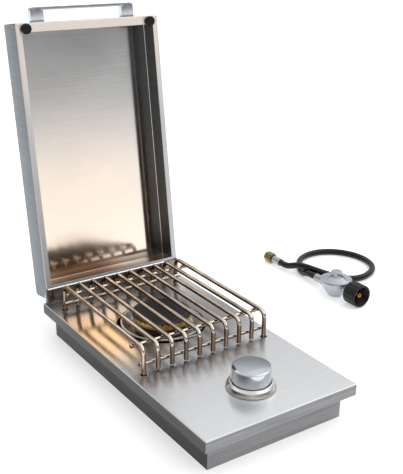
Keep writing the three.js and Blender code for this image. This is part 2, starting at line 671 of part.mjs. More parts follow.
function makeBowl(parent) {
  const inner = BOWL_RADIUS - BOWL_WALL;
  const outside = turned([
    [0, BOWL_BOTTOM], [BOWL_RADIUS - BOWL_SHOULDER, BOWL_BOTTOM], [BOWL_RADIUS, BOWL_BOTTOM + BOWL_SHOULDER],
    [BOWL_RADIUS, SEAT_FLANGE_LEVEL], [SEAT_FLANGE_RADIUS, SEAT_FLANGE_LEVEL], [SEAT_FLANGE_RADIUS, SEAT_TOP],
    [BOWL_RADIUS, SEAT_TOP], [BOWL_RADIUS, BOWL_TOP], [0, BOWL_TOP],
  ]);
  const inside = turned([
    [0, BOWL_BOTTOM + BOWL_WALL], [inner - BOWL_SHOULDER, BOWL_BOTTOM + BOWL_WALL],
    [inner, BOWL_BOTTOM + BOWL_WALL + BOWL_SHOULDER], [inner, BOWL_TOP + CUT_OVERRUN],
    [0, BOWL_TOP + CUT_OVERRUN],
  ]);
  const socketBack = BOWL_WALL - BOWL_RADIUS;
  const socketFront = -BOWL_RADIUS - SOCKET_LENGTH;
  const socket = bar([0, socketFront, TUBE_AXIS_HEIGHT], [0, socketBack, TUBE_AXIS_HEIGHT], SOCKET_RADIUS);
  const socketBore = bar([0, socketFront - CUT_OVERRUN, TUBE_AXIS_HEIGHT],
    [0, socketBack + CUT_OVERRUN, TUBE_AXIS_HEIGHT], SOCKET_BORE);
  const boss = bar(
    [0, 0, BOWL_BOTTOM + BOWL_WALL / 2], [0, 0, BOWL_BOTTOM + BOSS_RISE], BOSS_RADIUS, SMALL_SIDES);
  const screwHole = bar(
    [0, 0, BOWL_BOTTOM - CUT_OVERRUN], [0, 0, BOWL_BOTTOM + BURNER_SCREW_REACH + SEAT_GAP],
    BURNER_SCREW_RADIUS + SCREW_CLEARANCE, ROD_SIDES);
  const ear = turnedBlock([BOWL_RADIUS, -ELECTRODE_EAR_WIDTH / 2, SEAT_FLANGE_LEVEL],
    [ELECTRODE_FROM_AXIS + ELECTRODE_EAR_END, ELECTRODE_EAR_WIDTH / 2, SEAT_TOP], ELECTRODE_ANGLE);
  const earHole = bar([ELECTRODE_X, ELECTRODE_Y - BURNER_Y, SEAT_FLANGE_LEVEL - CUT_OVERRUN],
    [ELECTRODE_X, ELECTRODE_Y - BURNER_Y, SEAT_TOP + CUT_OVERRUN],
    ELECTRODE_RADIUS + ELECTRODE_HOLE_CLEARANCE, SMALL_SIDES);
  const wall = cut(join(outside, socket, ear), inside);
  const bowl = cut(join(wall, boss), socketBore, earHole, screwHole);
  piece('burner_bowl', bowl, CAST_STEEL, parent).position.y = BURNER_Y;
}

// Head ring with a crown of gas slots
function makeHead(parent) {
  const top = HEAD_LEVEL + HEAD_HEIGHT;
  const body = turned(ring([
    [HEAD_INNER_RADIUS, HEAD_LEVEL], [HEAD_RADIUS - HEAD_CHAMFER, HEAD_LEVEL],
    [HEAD_RADIUS, HEAD_LEVEL + HEAD_CHAMFER], [HEAD_TOP_RADIUS, top], [HEAD_WALL_INNER_RADIUS, top],
    [HEAD_WALL_INNER_RADIUS, HEAD_LEVEL + HEAD_FLOOR], [HEAD_INNER_RADIUS, HEAD_LEVEL + HEAD_FLOOR],
  ]));
  const slots = [];
  for (let index = 0; index < PORT_COUNT; index++) {
    slots.push(turnedBlock([HEAD_WALL_INNER_RADIUS - CUT_OVERRUN, -PORT_WIDTH / 2, top - PORT_DEPTH],
      [HEAD_RADIUS + CUT_OVERRUN, PORT_WIDTH / 2, top + CUT_OVERRUN],
      2 * Math.PI * (index + 0.5) / PORT_COUNT));
  }
  piece('burner_head', cut(body, ...slots), BRASS, parent).position.y = BURNER_Y;
}

// Cap that lies on the head ring, with a lip that keeps it in the middle
function makeCap(parent) {
  const bottom = HEAD_LEVEL + HEAD_HEIGHT + SEAT_GAP;
  const cap = turned([
    [0, bottom], [CAP_LIP_RADIUS - CAP_LIP_WALL, bottom],
    [CAP_LIP_RADIUS - CAP_LIP_WALL, bottom - CAP_LIP_DEPTH],
    [CAP_LIP_RADIUS, bottom - CAP_LIP_DEPTH], [CAP_LIP_RADIUS, bottom], [CAP_RADIUS - CAP_EDGE, bottom],
    [CAP_RADIUS, bottom + CAP_EDGE], [CAP_SHOULDER_RADIUS, bottom + CAP_SHOULDER_RISE],
    [0, bottom + CAP_CROWN_RISE],
  ]);
  piece('burner_cap', cap, CAST_STEEL, parent).position.y = BURNER_Y;
}

// Dished drip pan round the bowl
function makePan(parent) {
  const seat = SEAT_TOP + SEAT_GAP;
  const knee = seat + PAN_KNEE_RISE;
  const rim = seat + PAN_RIM_RISE;
  const bore = BOWL_RADIUS + PAN_HOLE_CLEARANCE;
  const dish = turned(ring([
    [bore, seat], [PAN_FLAT_RADIUS, seat], [PAN_KNEE_RADIUS, knee], [PAN_RADIUS - PAN_SHEET, rim],
    [PAN_RADIUS - PAN_SHEET, rim - PAN_LIP_DROP], [PAN_RADIUS, rim - PAN_LIP_DROP],
    [PAN_RADIUS, rim + PAN_SHEET], [PAN_RADIUS - PAN_SHEET, rim + PAN_SHEET],
    [PAN_KNEE_RADIUS, knee + PAN_SHEET], [PAN_FLAT_RADIUS, seat + PAN_SHEET], [bore, seat + PAN_SHEET],
  ]));
  const hole = bar([ELECTRODE_X, ELECTRODE_Y - BURNER_Y, seat - CUT_OVERRUN],
    [ELECTRODE_X, ELECTRODE_Y - BURNER_Y, rim + CUT_OVERRUN],
    ELECTRODE_COLLAR_RADIUS + 2 * ELECTRODE_HOLE_CLEARANCE, SMALL_SIDES);
  piece('drip_pan', cut(dish, hole), POLISHED_STEEL, parent).position.y = BURNER_Y;
}

// Cradle that carries the bowl, and the screw up into it
function makeCradle(parent) {
  const half = CRADLE_WIDTH / 2;
  const front = BURNER_Y - CRADLE_DEPTH / 2;
  const back = BURNER_Y + CRADLE_DEPTH / 2;
  const top = BOWL_BOTTOM - SEAT_GAP;
  const bottom = HOUSING_SHEET + SEAT_GAP;
  const sides = both.map((side) => {
    const [inner, outer] = [side * (half - CRADLE_SHEET), side * half].sort((a, b) => a - b);
    return block([inner, front, bottom], [outer, back, top]);
  });
  const feet = both.map((side) => {
    const [near, far] = [side * (half - CRADLE_SHEET), side * (half + CRADLE_FOOT)].sort((a, b) => a - b);
    return block([near, front, bottom], [far, back, bottom + CRADLE_SHEET]);
  });
  const platform = block([-half, front, top - CRADLE_SHEET], [half, back, top]);
  const hole = bar([0, BURNER_Y, top - CUT_OVERRUN], [0, BURNER_Y, top + CUT_OVERRUN],
    BURNER_SCREW_RADIUS + SCREW_CLEARANCE, ROD_SIDES);
  piece('burner_cradle', cut(join(platform, ...sides, ...feet), hole), ZINC_STEEL, parent);
  const headTop = top - CRADLE_SHEET - SEAT_GAP;
  const headBottom = headTop - BURNER_SCREW_HEAD_HEIGHT;
  const screw = join(
    bar([0, BURNER_Y, headBottom], [0, BURNER_Y, headTop], BURNER_SCREW_HEAD_RADIUS, HEX_SIDES),
    bar([0, BURNER_Y, headTop - BURNER_SCREW_HEAD_HEIGHT / 2],
      [0, BURNER_Y, BOWL_BOTTOM + BURNER_SCREW_REACH],
      BURNER_SCREW_RADIUS, ROD_SIDES));
  piece('burner_screw', screw, ZINC_STEEL, parent);
}

// Ceramic insulator of the electrode and its metal tip
function makeElectrode(parent) {
  const bottom = SEAT_FLANGE_LEVEL - ELECTRODE_BELOW;
  const collar = SEAT_TOP + SEAT_GAP;
  const insulator = join(
    bar([ELECTRODE_X, ELECTRODE_Y, bottom], [ELECTRODE_X, ELECTRODE_Y, ELECTRODE_TOP],
      ELECTRODE_RADIUS, SMALL_SIDES),
    bar([ELECTRODE_X, ELECTRODE_Y, collar], [ELECTRODE_X, ELECTRODE_Y, collar + ELECTRODE_COLLAR_HEIGHT],
      ELECTRODE_COLLAR_RADIUS, SMALL_SIDES));
  piece('electrode_insulator', insulator, CERAMIC, parent);
  const tipStart = ELECTRODE_TOP + SEAT_GAP;
  const reach = (ELECTRODE_FROM_AXIS - TIP_REACH) / ELECTRODE_FROM_AXIS;
  const end = [ELECTRODE_X * reach, BURNER_Y + (ELECTRODE_Y - BURNER_Y) * reach, tipStart + TIP_RISE];
  const corners = [
    [ELECTRODE_X, ELECTRODE_Y, tipStart], [ELECTRODE_X, ELECTRODE_Y, tipStart + TIP_RISE], end];
  const tip = drawnThrough(bentWire(corners, TIP_BEND, CORNER_STEPS), TIP_RADIUS, ROD_SIDES);
  piece('electrode_tip', tip, POLISHED_STEEL, parent);
}

// Valve body, its cap, the turning plug with its spring and the stem
const VALVE_CAP_TOP = DECK_UNDERSIDE - SEAT_GAP;
const VALVE_CAP_BOTTOM = VALVE_CAP_TOP - VALVE_CAP_THICKNESS;
const VALVE_TOP = VALVE_CAP_BOTTOM - SEAT_GAP;
const OUTLET_END = KNOB_Y + VALVE_RADIUS + OUTLET_BOSS_LENGTH;
const INLET_END = VALVE_RADIUS + INLET_BOSS_LENGTH;

function makeValve(parent) {
  const plugBottom = VALVE_BOTTOM + VALVE_FLOOR + SEAT_GAP;
  const outside = join(
    bar([0, KNOB_Y, VALVE_BOTTOM], [0, KNOB_Y, VALVE_TOP], VALVE_RADIUS),
    block([-VALVE_FLANGE_WIDTH / 2, KNOB_Y - VALVE_FLANGE_DEPTH / 2, VALVE_TOP - VALVE_FLANGE_THICKNESS],
      [VALVE_FLANGE_WIDTH / 2, KNOB_Y + VALVE_FLANGE_DEPTH / 2, VALVE_TOP]),
    bar([0, KNOB_Y, INLET_HEIGHT], [INLET_END, KNOB_Y, INLET_HEIGHT], INLET_BOSS_RADIUS, SMALL_SIDES),
    bar([0, KNOB_Y, TUBE_AXIS_HEIGHT], [0, OUTLET_END, TUBE_AXIS_HEIGHT], OUTLET_BOSS_RADIUS, SMALL_SIDES));
  const screwPlaces = both.map((side) => side * VALVE_SCREW_FROM_AXIS);
  const screwHoles = (bottom, top) => screwPlaces.map((x) =>
    bar([x, KNOB_Y, bottom], [x, KNOB_Y, top], VALVE_SCREW_RADIUS + SCREW_CLEARANCE, ROD_SIDES));
  const body = cut(outside,
    bar([0, KNOB_Y, VALVE_BOTTOM + VALVE_FLOOR], [0, KNOB_Y, VALVE_TOP + CUT_OVERRUN],
      PLUG_RADIUS + SCREW_CLEARANCE),
    bar([0, KNOB_Y, INLET_HEIGHT], [INLET_END + CUT_OVERRUN, KNOB_Y, INLET_HEIGHT], INLET_BORE, ROD_SIDES),
    bar([0, KNOB_Y, TUBE_AXIS_HEIGHT], [0, OUTLET_END, TUBE_AXIS_HEIGHT], INLET_BORE, ROD_SIDES),
    bar([0, OUTLET_END - OUTLET_THREAD_DEPTH - SEAT_GAP, TUBE_AXIS_HEIGHT],
      [0, OUTLET_END + CUT_OVERRUN, TUBE_AXIS_HEIGHT], ORIFICE_THREAD_RADIUS + SCREW_CLEARANCE, SMALL_SIDES),
    ...screwHoles(VALVE_TOP - VALVE_FLANGE_THICKNESS - CUT_OVERRUN, VALVE_TOP + CUT_OVERRUN));
  piece('valve_body', body, BRASS, parent);

  const cap = cut(
    block([-VALVE_FLANGE_WIDTH / 2, KNOB_Y - VALVE_FLANGE_DEPTH / 2, VALVE_CAP_BOTTOM],
      [VALVE_FLANGE_WIDTH / 2, KNOB_Y + VALVE_FLANGE_DEPTH / 2, VALVE_CAP_TOP]),
    bar([0, KNOB_Y, VALVE_CAP_BOTTOM - CUT_OVERRUN], [0, KNOB_Y, VALVE_CAP_TOP + CUT_OVERRUN],
      STEM_RADIUS + STEM_CLEARANCE, SMALL_SIDES),
    ...screwHoles(VALVE_CAP_BOTTOM - CUT_OVERRUN, VALVE_CAP_TOP + CUT_OVERRUN));
  piece('valve_cap', cap, ZINC_STEEL, parent);

  const socketBottom = PLUG_TOP - PLUG_SOCKET_DEPTH;
  const plug = cut(
    bar([0, KNOB_Y, plugBottom], [0, KNOB_Y, PLUG_TOP], PLUG_RADIUS),
    bar([0, KNOB_Y, socketBottom], [0, KNOB_Y, PLUG_TOP + CUT_OVERRUN],
      STEM_RADIUS + STEM_CLEARANCE, SMALL_SIDES));
  piece('valve_plug', plug, BRASS, parent);

  const springBottom = socketBottom + SEAT_GAP;
  const springTop = springBottom + SPRING_LENGTH;
  const spring = turned(ring([[SPRING_BORE, springBottom], [SPRING_RADIUS, springBottom],
    [SPRING_RADIUS, springTop], [SPRING_BORE, springTop]]), SMALL_SIDES);
  piece('return_spring', spring, POLISHED_STEEL, parent).position.y = KNOB_Y;

  const stemTop = DECK_TOP + KNOB_TOP - STEM_BELOW_KNOB_TOP;
  piece('valve_stem', bar([0, KNOB_Y, springTop + SEAT_GAP], [0, KNOB_Y, stemTop], STEM_RADIUS, SMALL_SIDES),
    ZINC_STEEL, parent);

  const headBottom = DECK_TOP + BEZEL_FLOOR + 2 * SEAT_GAP;
  const names = ['valve_screw_left', 'valve_screw_right'];
  screwPlaces.forEach((x, index) => {
    const headTop = headBottom + VALVE_SCREW_HEAD_HEIGHT;
    const screw = join(
      bar([x, KNOB_Y, headBottom], [x, KNOB_Y, headTop], VALVE_SCREW_HEAD_RADIUS, SMALL_SIDES),
      bar([x, KNOB_Y, VALVE_TOP - VALVE_FLANGE_THICKNESS], [x, KNOB_Y, headTop - VALVE_SCREW_HEAD_HEIGHT / 2],
        VALVE_SCREW_RADIUS, ROD_SIDES));
    piece(names[index], screw, ZINC_STEEL, parent);
  });
}

// Bezel and knob
function makeKnob(parent) {
  const place = new THREE.Group();
  place.position.set(0, KNOB_Y, DECK_TOP);
  parent.add(place);
  const bezelBore = KNOB_RADIUS + BEZEL_KNOB_CLEARANCE;
  const bezelFloor = SEAT_GAP + BEZEL_FLOOR;
  const dish = turned(ring([
    [BEZEL_HOLE_RADIUS, SEAT_GAP], [BEZEL_RADIUS, SEAT_GAP], [BEZEL_RADIUS, BEZEL_EDGE],
    [BEZEL_SHOULDER_RADIUS, BEZEL_SHOULDER_HEIGHT], [BEZEL_SLOPE_RADIUS, BEZEL_SLOPE_HEIGHT],
    [BEZEL_RIM_RADIUS, BEZEL_RIM_HEIGHT], [bezelBore, BEZEL_RIM_HEIGHT], [bezelBore, bezelFloor],
    [BEZEL_HOLE_RADIUS, bezelFloor],
  ]));
  const screwHoles = both.map((side) => bar([side * VALVE_SCREW_FROM_AXIS, 0, -CUT_OVERRUN],
    [side * VALVE_SCREW_FROM_AXIS, 0, bezelFloor + CUT_OVERRUN],
    VALVE_SCREW_RADIUS + SCREW_CLEARANCE, ROD_SIDES));
  piece('knob_bezel', cut(dish, ...screwHoles), POLISHED_STEEL, place);

  const grip = turned([
    [0, KNOB_BOTTOM], [KNOB_RADIUS, KNOB_BOTTOM], [KNOB_RADIUS, KNOB_TOP - KNOB_CHAMFER],
    [KNOB_RADIUS - KNOB_CHAMFER, KNOB_TOP], [0, KNOB_TOP],
  ]);
  const recess = turned(ring([
    [KNOB_HUB_RADIUS, KNOB_BOTTOM - CUT_OVERRUN], [KNOB_RADIUS - KNOB_WALL, KNOB_BOTTOM - CUT_OVERRUN],
    [KNOB_RADIUS - KNOB_WALL, KNOB_TOP - KNOB_TOP_THICKNESS],
    [KNOB_HUB_RADIUS, KNOB_TOP - KNOB_TOP_THICKNESS],
  ]));
  const hubEnd = bar([0, 0, KNOB_BOTTOM - CUT_OVERRUN], [0, 0, KNOB_BOTTOM + KNOB_HUB_LIFT],
    KNOB_HUB_RADIUS + CUT_OVERRUN);
  const stemBore = bar([0, 0, KNOB_BOTTOM - CUT_OVERRUN], [0, 0, KNOB_TOP - STEM_BELOW_KNOB_TOP + SEAT_GAP],
    STEM_RADIUS + STEM_CLEARANCE, SMALL_SIDES);
  const pointer = turnedBlock([POINTER_FROM_AXIS, -POINTER_WIDTH / 2, KNOB_TOP - POINTER_DEPTH],
    [KNOB_RADIUS + CUT_OVERRUN, POINTER_WIDTH / 2, KNOB_TOP + CUT_OVERRUN], POINTER_ANGLE);
  piece('control_knob', cut(grip, recess, hubEnd, stemBore, pointer), POLISHED_STEEL, place);
}

// Orifice that screws into the valve and blows into the mixing tube
const ORIFICE_HEX_START = OUTLET_END + SEAT_GAP;
const NOZZLE_START = ORIFICE_HEX_START + ORIFICE_HEX_LENGTH;
const NOZZLE_END = NOZZLE_START + ORIFICE_NOZZLE_LENGTH;

function makeOrifice(parent) {
  const z = TUBE_AXIS_HEIGHT;
  const threadStart = OUTLET_END - OUTLET_THREAD_DEPTH;
  const orifice = cut(
    join(
      bar([0, threadStart, z], [0, ORIFICE_HEX_START + ORIFICE_HEX_LENGTH / 2, z],
        ORIFICE_THREAD_RADIUS, SMALL_SIDES),
      bar([0, ORIFICE_HEX_START, z], [0, NOZZLE_START, z], ORIFICE_HEX_RADIUS, HEX_SIDES),
      bar([0, ORIFICE_HEX_START, z], [0, NOZZLE_END, z], ORIFICE_NOZZLE_RADIUS, SMALL_SIDES)),
    bar([0, threadStart - CUT_OVERRUN, z], [0, NOZZLE_END + CUT_OVERRUN, z], ORIFICE_BORE, HEX_SIDES));
  piece('gas_orifice', orifice, BRASS, parent);
}

// Mixing tube with air windows at its mouth, and the shutter that turns over them
const MOUTH_FRONT = NOZZLE_END - NOZZLE_INSERTION;
const TUBE_END = SOCKET_FRONT + TUBE_INSERTION;

function airWindows(shellRadius) {
  const windows = [];
  for (let index = 0; index < AIR_WINDOW_COUNT; index++) {
    const start = MOUTH_FRONT + SHUTTER_INSET + (SHUTTER_LENGTH - AIR_WINDOW_LENGTH) / 2;
    const window = new THREE.BoxGeometry(AIR_WINDOW_WIDTH, AIR_WINDOW_LENGTH, shellRadius + CUT_OVERRUN);
    window.translate(0, start + AIR_WINDOW_LENGTH / 2, (shellRadius + CUT_OVERRUN) / 2);
    windows.push(solid(window.rotateY(2 * Math.PI * (index + 0.5) / AIR_WINDOW_COUNT)));
  }
  return windows;
}

function makeMixingTube(parent) {
  const mouthBore = TUBE_MOUTH_RADIUS - TUBE_WALL;
  const mouthBack = MOUTH_FRONT + TUBE_MOUTH_LENGTH;
  const throat = mouthBack + TUBE_THROAT_LENGTH;
  const nozzleHole = ORIFICE_NOZZLE_RADIUS + TUBE_NOZZLE_CLEARANCE;
  const shell = turnedAlongY(ring([
    [nozzleHole, MOUTH_FRONT], [TUBE_MOUTH_RADIUS, MOUTH_FRONT], [TUBE_MOUTH_RADIUS, mouthBack],
    [TUBE_THROAT_RADIUS, throat], [TUBE_END_RADIUS, TUBE_END - TUBE_INSERTION], [TUBE_END_RADIUS, TUBE_END],
    [TUBE_END_RADIUS - TUBE_WALL, TUBE_END], [TUBE_THROAT_RADIUS - TUBE_WALL, throat],
    [mouthBore, mouthBack], [mouthBore, MOUTH_FRONT + TUBE_WALL], [nozzleHole, MOUTH_FRONT + TUBE_WALL],
  ]));
  const tube = piece('mixing_tube', cut(shell, ...airWindows(TUBE_MOUTH_RADIUS)), ZINC_STEEL, parent);
  tube.position.z = TUBE_AXIS_HEIGHT;

  const inner = TUBE_MOUTH_RADIUS + SEAT_GAP;
  const outer = inner + SHUTTER_WALL;
  const start = MOUTH_FRONT + SHUTTER_INSET;
  const sleeve = turnedAlongY(ring([[inner, start], [outer, start],
    [outer, start + SHUTTER_LENGTH], [inner, start + SHUTTER_LENGTH]]));
  piece('air_shutter', cut(sleeve, ...airWindows(outer)), ZINC_STEEL, parent).position.z = TUBE_AXIS_HEIGHT;
}

// Igniter module on the valve, and the wire from it to the electrode
function makeIgniter(parent) {
  const right = -VALVE_RADIUS - SEAT_GAP;
  const bottom = VALVE_TOP - VALVE_FLANGE_THICKNESS - SEAT_GAP - MODULE_HEIGHT;
  const module = block([right - MODULE_WIDTH, KNOB_Y - MODULE_DEPTH / 2, bottom],
    [right, KNOB_Y + MODULE_DEPTH / 2, bottom + MODULE_HEIGHT]);
  piece('igniter_module', module, BLACK_PLASTIC, parent);
  const start = [right - MODULE_WIDTH - SEAT_GAP, KNOB_Y, bottom + MODULE_HEIGHT / 2];
  const electrodeEnd = SEAT_FLANGE_LEVEL - ELECTRODE_BELOW - SEAT_GAP;
  const ends = [electrodeEnd - WIRE_RISE, electrodeEnd].map((z) => [ELECTRODE_X, ELECTRODE_Y, z]);
  const route = [start, ...WIRE_ROUTE, ...ends].map((place) => new THREE.Vector3(...place));
  const path = new THREE.CatmullRomCurve3(route);
  piece('ignition_wire', drawn(path, WIRE_STEPS, WIRE_RADIUS, HEX_SIDES), BLACK_RUBBER, parent);
}

// Feed pipe with its nut, and the inlet fitting with its locknut
function makeFeed(parent) {
  const backWall = HOUSING_DEPTH / 2 - HOUSING_SHEET;
  const hexFront = backWall - SEAT_GAP - FITTING_HEX_LENGTH;
  const tailFront = hexFront - FITTING_TAIL_LENGTH;
  const z = INLET_HEIGHT;
  const pipeStart = INLET_END + SEAT_GAP;
  const pipeEnd = tailFront - SEAT_GAP;
  const corners = [[pipeStart, KNOB_Y, z], [PIPE_X, KNOB_Y, z], [PIPE_X, pipeEnd, z]];
  const bend = bentWire(corners, PIPE_BEND, PIPE_BEND_STEPS);
  const pipe = drawnThrough(bend, PIPE_RADIUS, SMALL_SIDES, PIPE_BORE);
  piece('feed_pipe', pipe, BRASS, parent);

  const nut = cut(
    bar([pipeStart, KNOB_Y, z], [pipeStart + PIPE_NUT_LENGTH, KNOB_Y, z], PIPE_NUT_RADIUS, HEX_SIDES),
    bar([pipeStart - CUT_OVERRUN, KNOB_Y, z], [pipeStart + PIPE_NUT_LENGTH + CUT_OVERRUN, KNOB_Y, z],
      PIPE_RADIUS + SEAT_GAP, SMALL_SIDES));
  piece('pipe_nut', nut, BRASS, parent);

  const threadEnd = HOUSING_DEPTH / 2 + FITTING_THREAD_REACH;
  const fitting = cut(
    join(
      bar([PIPE_X, tailFront, z], [PIPE_X, hexFront + SEAT_GAP, z], FITTING_TAIL_RADIUS, SMALL_SIDES),
      bar([PIPE_X, hexFront, z], [PIPE_X, backWall - SEAT_GAP, z], FITTING_HEX_RADIUS, HEX_SIDES),
      bar([PIPE_X, hexFront + SEAT_GAP, z], [PIPE_X, threadEnd, z], FITTING_THREAD_RADIUS, SMALL_SIDES)),
    bar([PIPE_X, tailFront - CUT_OVERRUN, z], [PIPE_X, threadEnd + CUT_OVERRUN, z], FITTING_BORE, ROD_SIDES));
  piece('inlet_fitting', fitting, BRASS, parent);

  const nutFront = HOUSING_DEPTH / 2 + SEAT_GAP;
  const locknut = cut(
    bar([PIPE_X, nutFront, z], [PIPE_X, nutFront + LOCKNUT_THICKNESS, z], LOCKNUT_RADIUS, HEX_SIDES),
    bar([PIPE_X, nutFront - CUT_OVERRUN, z], [PIPE_X, nutFront + LOCKNUT_THICKNESS + CUT_OVERRUN, z],
      FITTING_THREAD_RADIUS + SCREW_CLEARANCE, SMALL_SIDES));
  piece('inlet_locknut', locknut, BRASS, parent);
}

// Hinge bracket along the back of the deck, with an ear at each end
const HINGE_Z = DECK_TOP + HINGE_HEIGHT;
const LID_INNER_HALF = LID_WIDTH / 2 - LID_SHEET;
const EAR_OUTER_X = LID_INNER_HALF - HINGE_SIDE_CLEARANCE;

function makeHingeBracket(parent) {
  const bottom = DECK_TOP + SEAT_GAP;
  const front = HINGE_Y - HINGE_BRACKET_FRONT;
  const top = HINGE_Z + HINGE_BRACKET_RISE;
  const innerX = EAR_OUTER_X - HINGE_BRACKET_SHEET;
  const plate = block([-EAR_OUTER_X, front, bottom], [EAR_OUTER_X, front + HINGE_BRACKET_SHEET, top]);
  const foot = block([-EAR_OUTER_X, front, bottom],
    [EAR_OUTER_X, front + HINGE_BRACKET_FOOT, bottom + HINGE_BRACKET_SHEET]);
  const stopDistance = LID_HINGE_WALL - SEAT_GAP;
  const stopPoint = (along) => [
    HINGE_Y + stopDistance * Math.sin(LID_LEAN) + along * Math.cos(LID_LEAN),
    HINGE_Z + stopDistance * Math.cos(LID_LEAN) - along * Math.sin(LID_LEAN),
  ];
  const outline = [
    [front, bottom], [HINGE_Y + HINGE_BRACKET_BACK, bottom], [HINGE_Y + HINGE_BRACKET_BACK, HINGE_Z],
    stopPoint(STOP_LENGTH), stopPoint(0), [front, top],
  ];
  const ears = both.map((side) =>
    plateAlongX(outline, side > 0 ? innerX : -EAR_OUTER_X, HINGE_BRACKET_SHEET));
  const hole = bar(
    [-EAR_OUTER_X - CUT_OVERRUN, HINGE_Y, HINGE_Z], [EAR_OUTER_X + CUT_OVERRUN, HINGE_Y, HINGE_Z],
    PIN_RADIUS + SEAT_GAP, SMALL_SIDES);
  piece('hinge_bracket', cut(join(plate, foot, ...ears), hole), BRUSHED_STEEL, parent);

  const names = ['hinge_rivet_left', 'hinge_rivet_right'];
  both.forEach((side, index) => {
    const outer = side * (LID_WIDTH / 2 + SEAT_GAP);
    const inner = side * (innerX - SEAT_GAP);
    const head = side * PIN_HEAD_THICKNESS;
    const rivet = join(
      bar([outer, HINGE_Y, HINGE_Z], [outer + head, HINGE_Y, HINGE_Z], PIN_HEAD_RADIUS, SMALL_SIDES),
      bar([inner - head, HINGE_Y, HINGE_Z], [outer + head / 2, HINGE_Y, HINGE_Z], PIN_RADIUS, SMALL_SIDES),
      bar([inner - head, HINGE_Y, HINGE_Z], [inner, HINGE_Y, HINGE_Z], PIN_TAIL_RADIUS, SMALL_SIDES));
    piece(names[index], rivet, ZINC_STEEL, parent);
  });
}

// Lid tray, drawn closed about its hinge axis and turned open by its group
const LID_BACK_EDGE = PIN_FROM_EAR_END;
const LID_FRONT_FACE = PIN_FROM_EAR_END - LID_LENGTH;
const LID_RIM = -PIN_FROM_RIM;
const LID_OUTER_FACE = LID_DEPTH - PIN_FROM_RIM;

function makeLidShell(lid) {
  const half = LID_WIDTH / 2;
  const hingeWall = -LID_HINGE_WALL;
  const tray = join(
    block([-half, LID_FRONT_FACE, LID_RIM], [half, hingeWall, LID_OUTER_FACE]),
    ...both.map((side) => {
      const [near, far] = [side * LID_INNER_HALF, side * half].sort((a, b) => a - b);
      return block([near, hingeWall - LID_SHEET, LID_RIM], [far, LID_BACK_EDGE, LID_OUTER_FACE]);
    }));
  const hollow = block([-LID_INNER_HALF, LID_FRONT_FACE + LID_SHEET, LID_RIM + LID_SHEET],
    [LID_INNER_HALF, hingeWall - LID_SHEET, LID_OUTER_FACE - LID_SHEET]);
  const mouth = block(
    [LID_SIDE_FLANGE - LID_INNER_HALF, LID_FRONT_FACE + LID_FRONT_FLANGE, LID_RIM - CUT_OVERRUN],
    [LID_INNER_HALF - LID_SIDE_FLANGE, hingeWall - LID_BACK_FLANGE, LID_RIM + 2 * LID_SHEET]);
  const pinHole = bar(
    [-half - CUT_OVERRUN, 0, 0], [half + CUT_OVERRUN, 0, 0], PIN_RADIUS + SEAT_GAP, SMALL_SIDES);
  const screwHoles = handleScrewPlaces().map(([x, z]) =>
    bar([x, LID_FRONT_FACE - CUT_OVERRUN, z], [x, LID_FRONT_FACE + LID_SHEET + CUT_OVERRUN, z],
      HANDLE_SCREW_RADIUS + SCREW_CLEARANCE, SMALL_SIDES));
  const bumperHoles = both.map((side) => bumperPlace(side)).map(([x, y]) =>
    bar([x, y, LID_RIM - CUT_OVERRUN], [x, y, LID_RIM + LID_SHEET + CUT_OVERRUN],
      BUMPER_STEM_RADIUS + SCREW_CLEARANCE, SMALL_SIDES));
  piece('lid_shell', cut(tray, hollow, mouth, pinHole, ...screwHoles, ...bumperHoles), BRUSHED_STEEL, lid);
}

function handleScrewPlaces() {
  const x = (HANDLE_WIDTH - HANDLE_LEG) / 2;
  const z = LID_RIM + LID_DEPTH / 2;
  return both.map((side) => [side * x, z]);
}

function bumperPlace(side) {
  return [side * (LID_WIDTH / 2 - BUMPER_FROM_SIDE), LID_FRONT_FACE + BUMPER_FROM_FRONT];
}

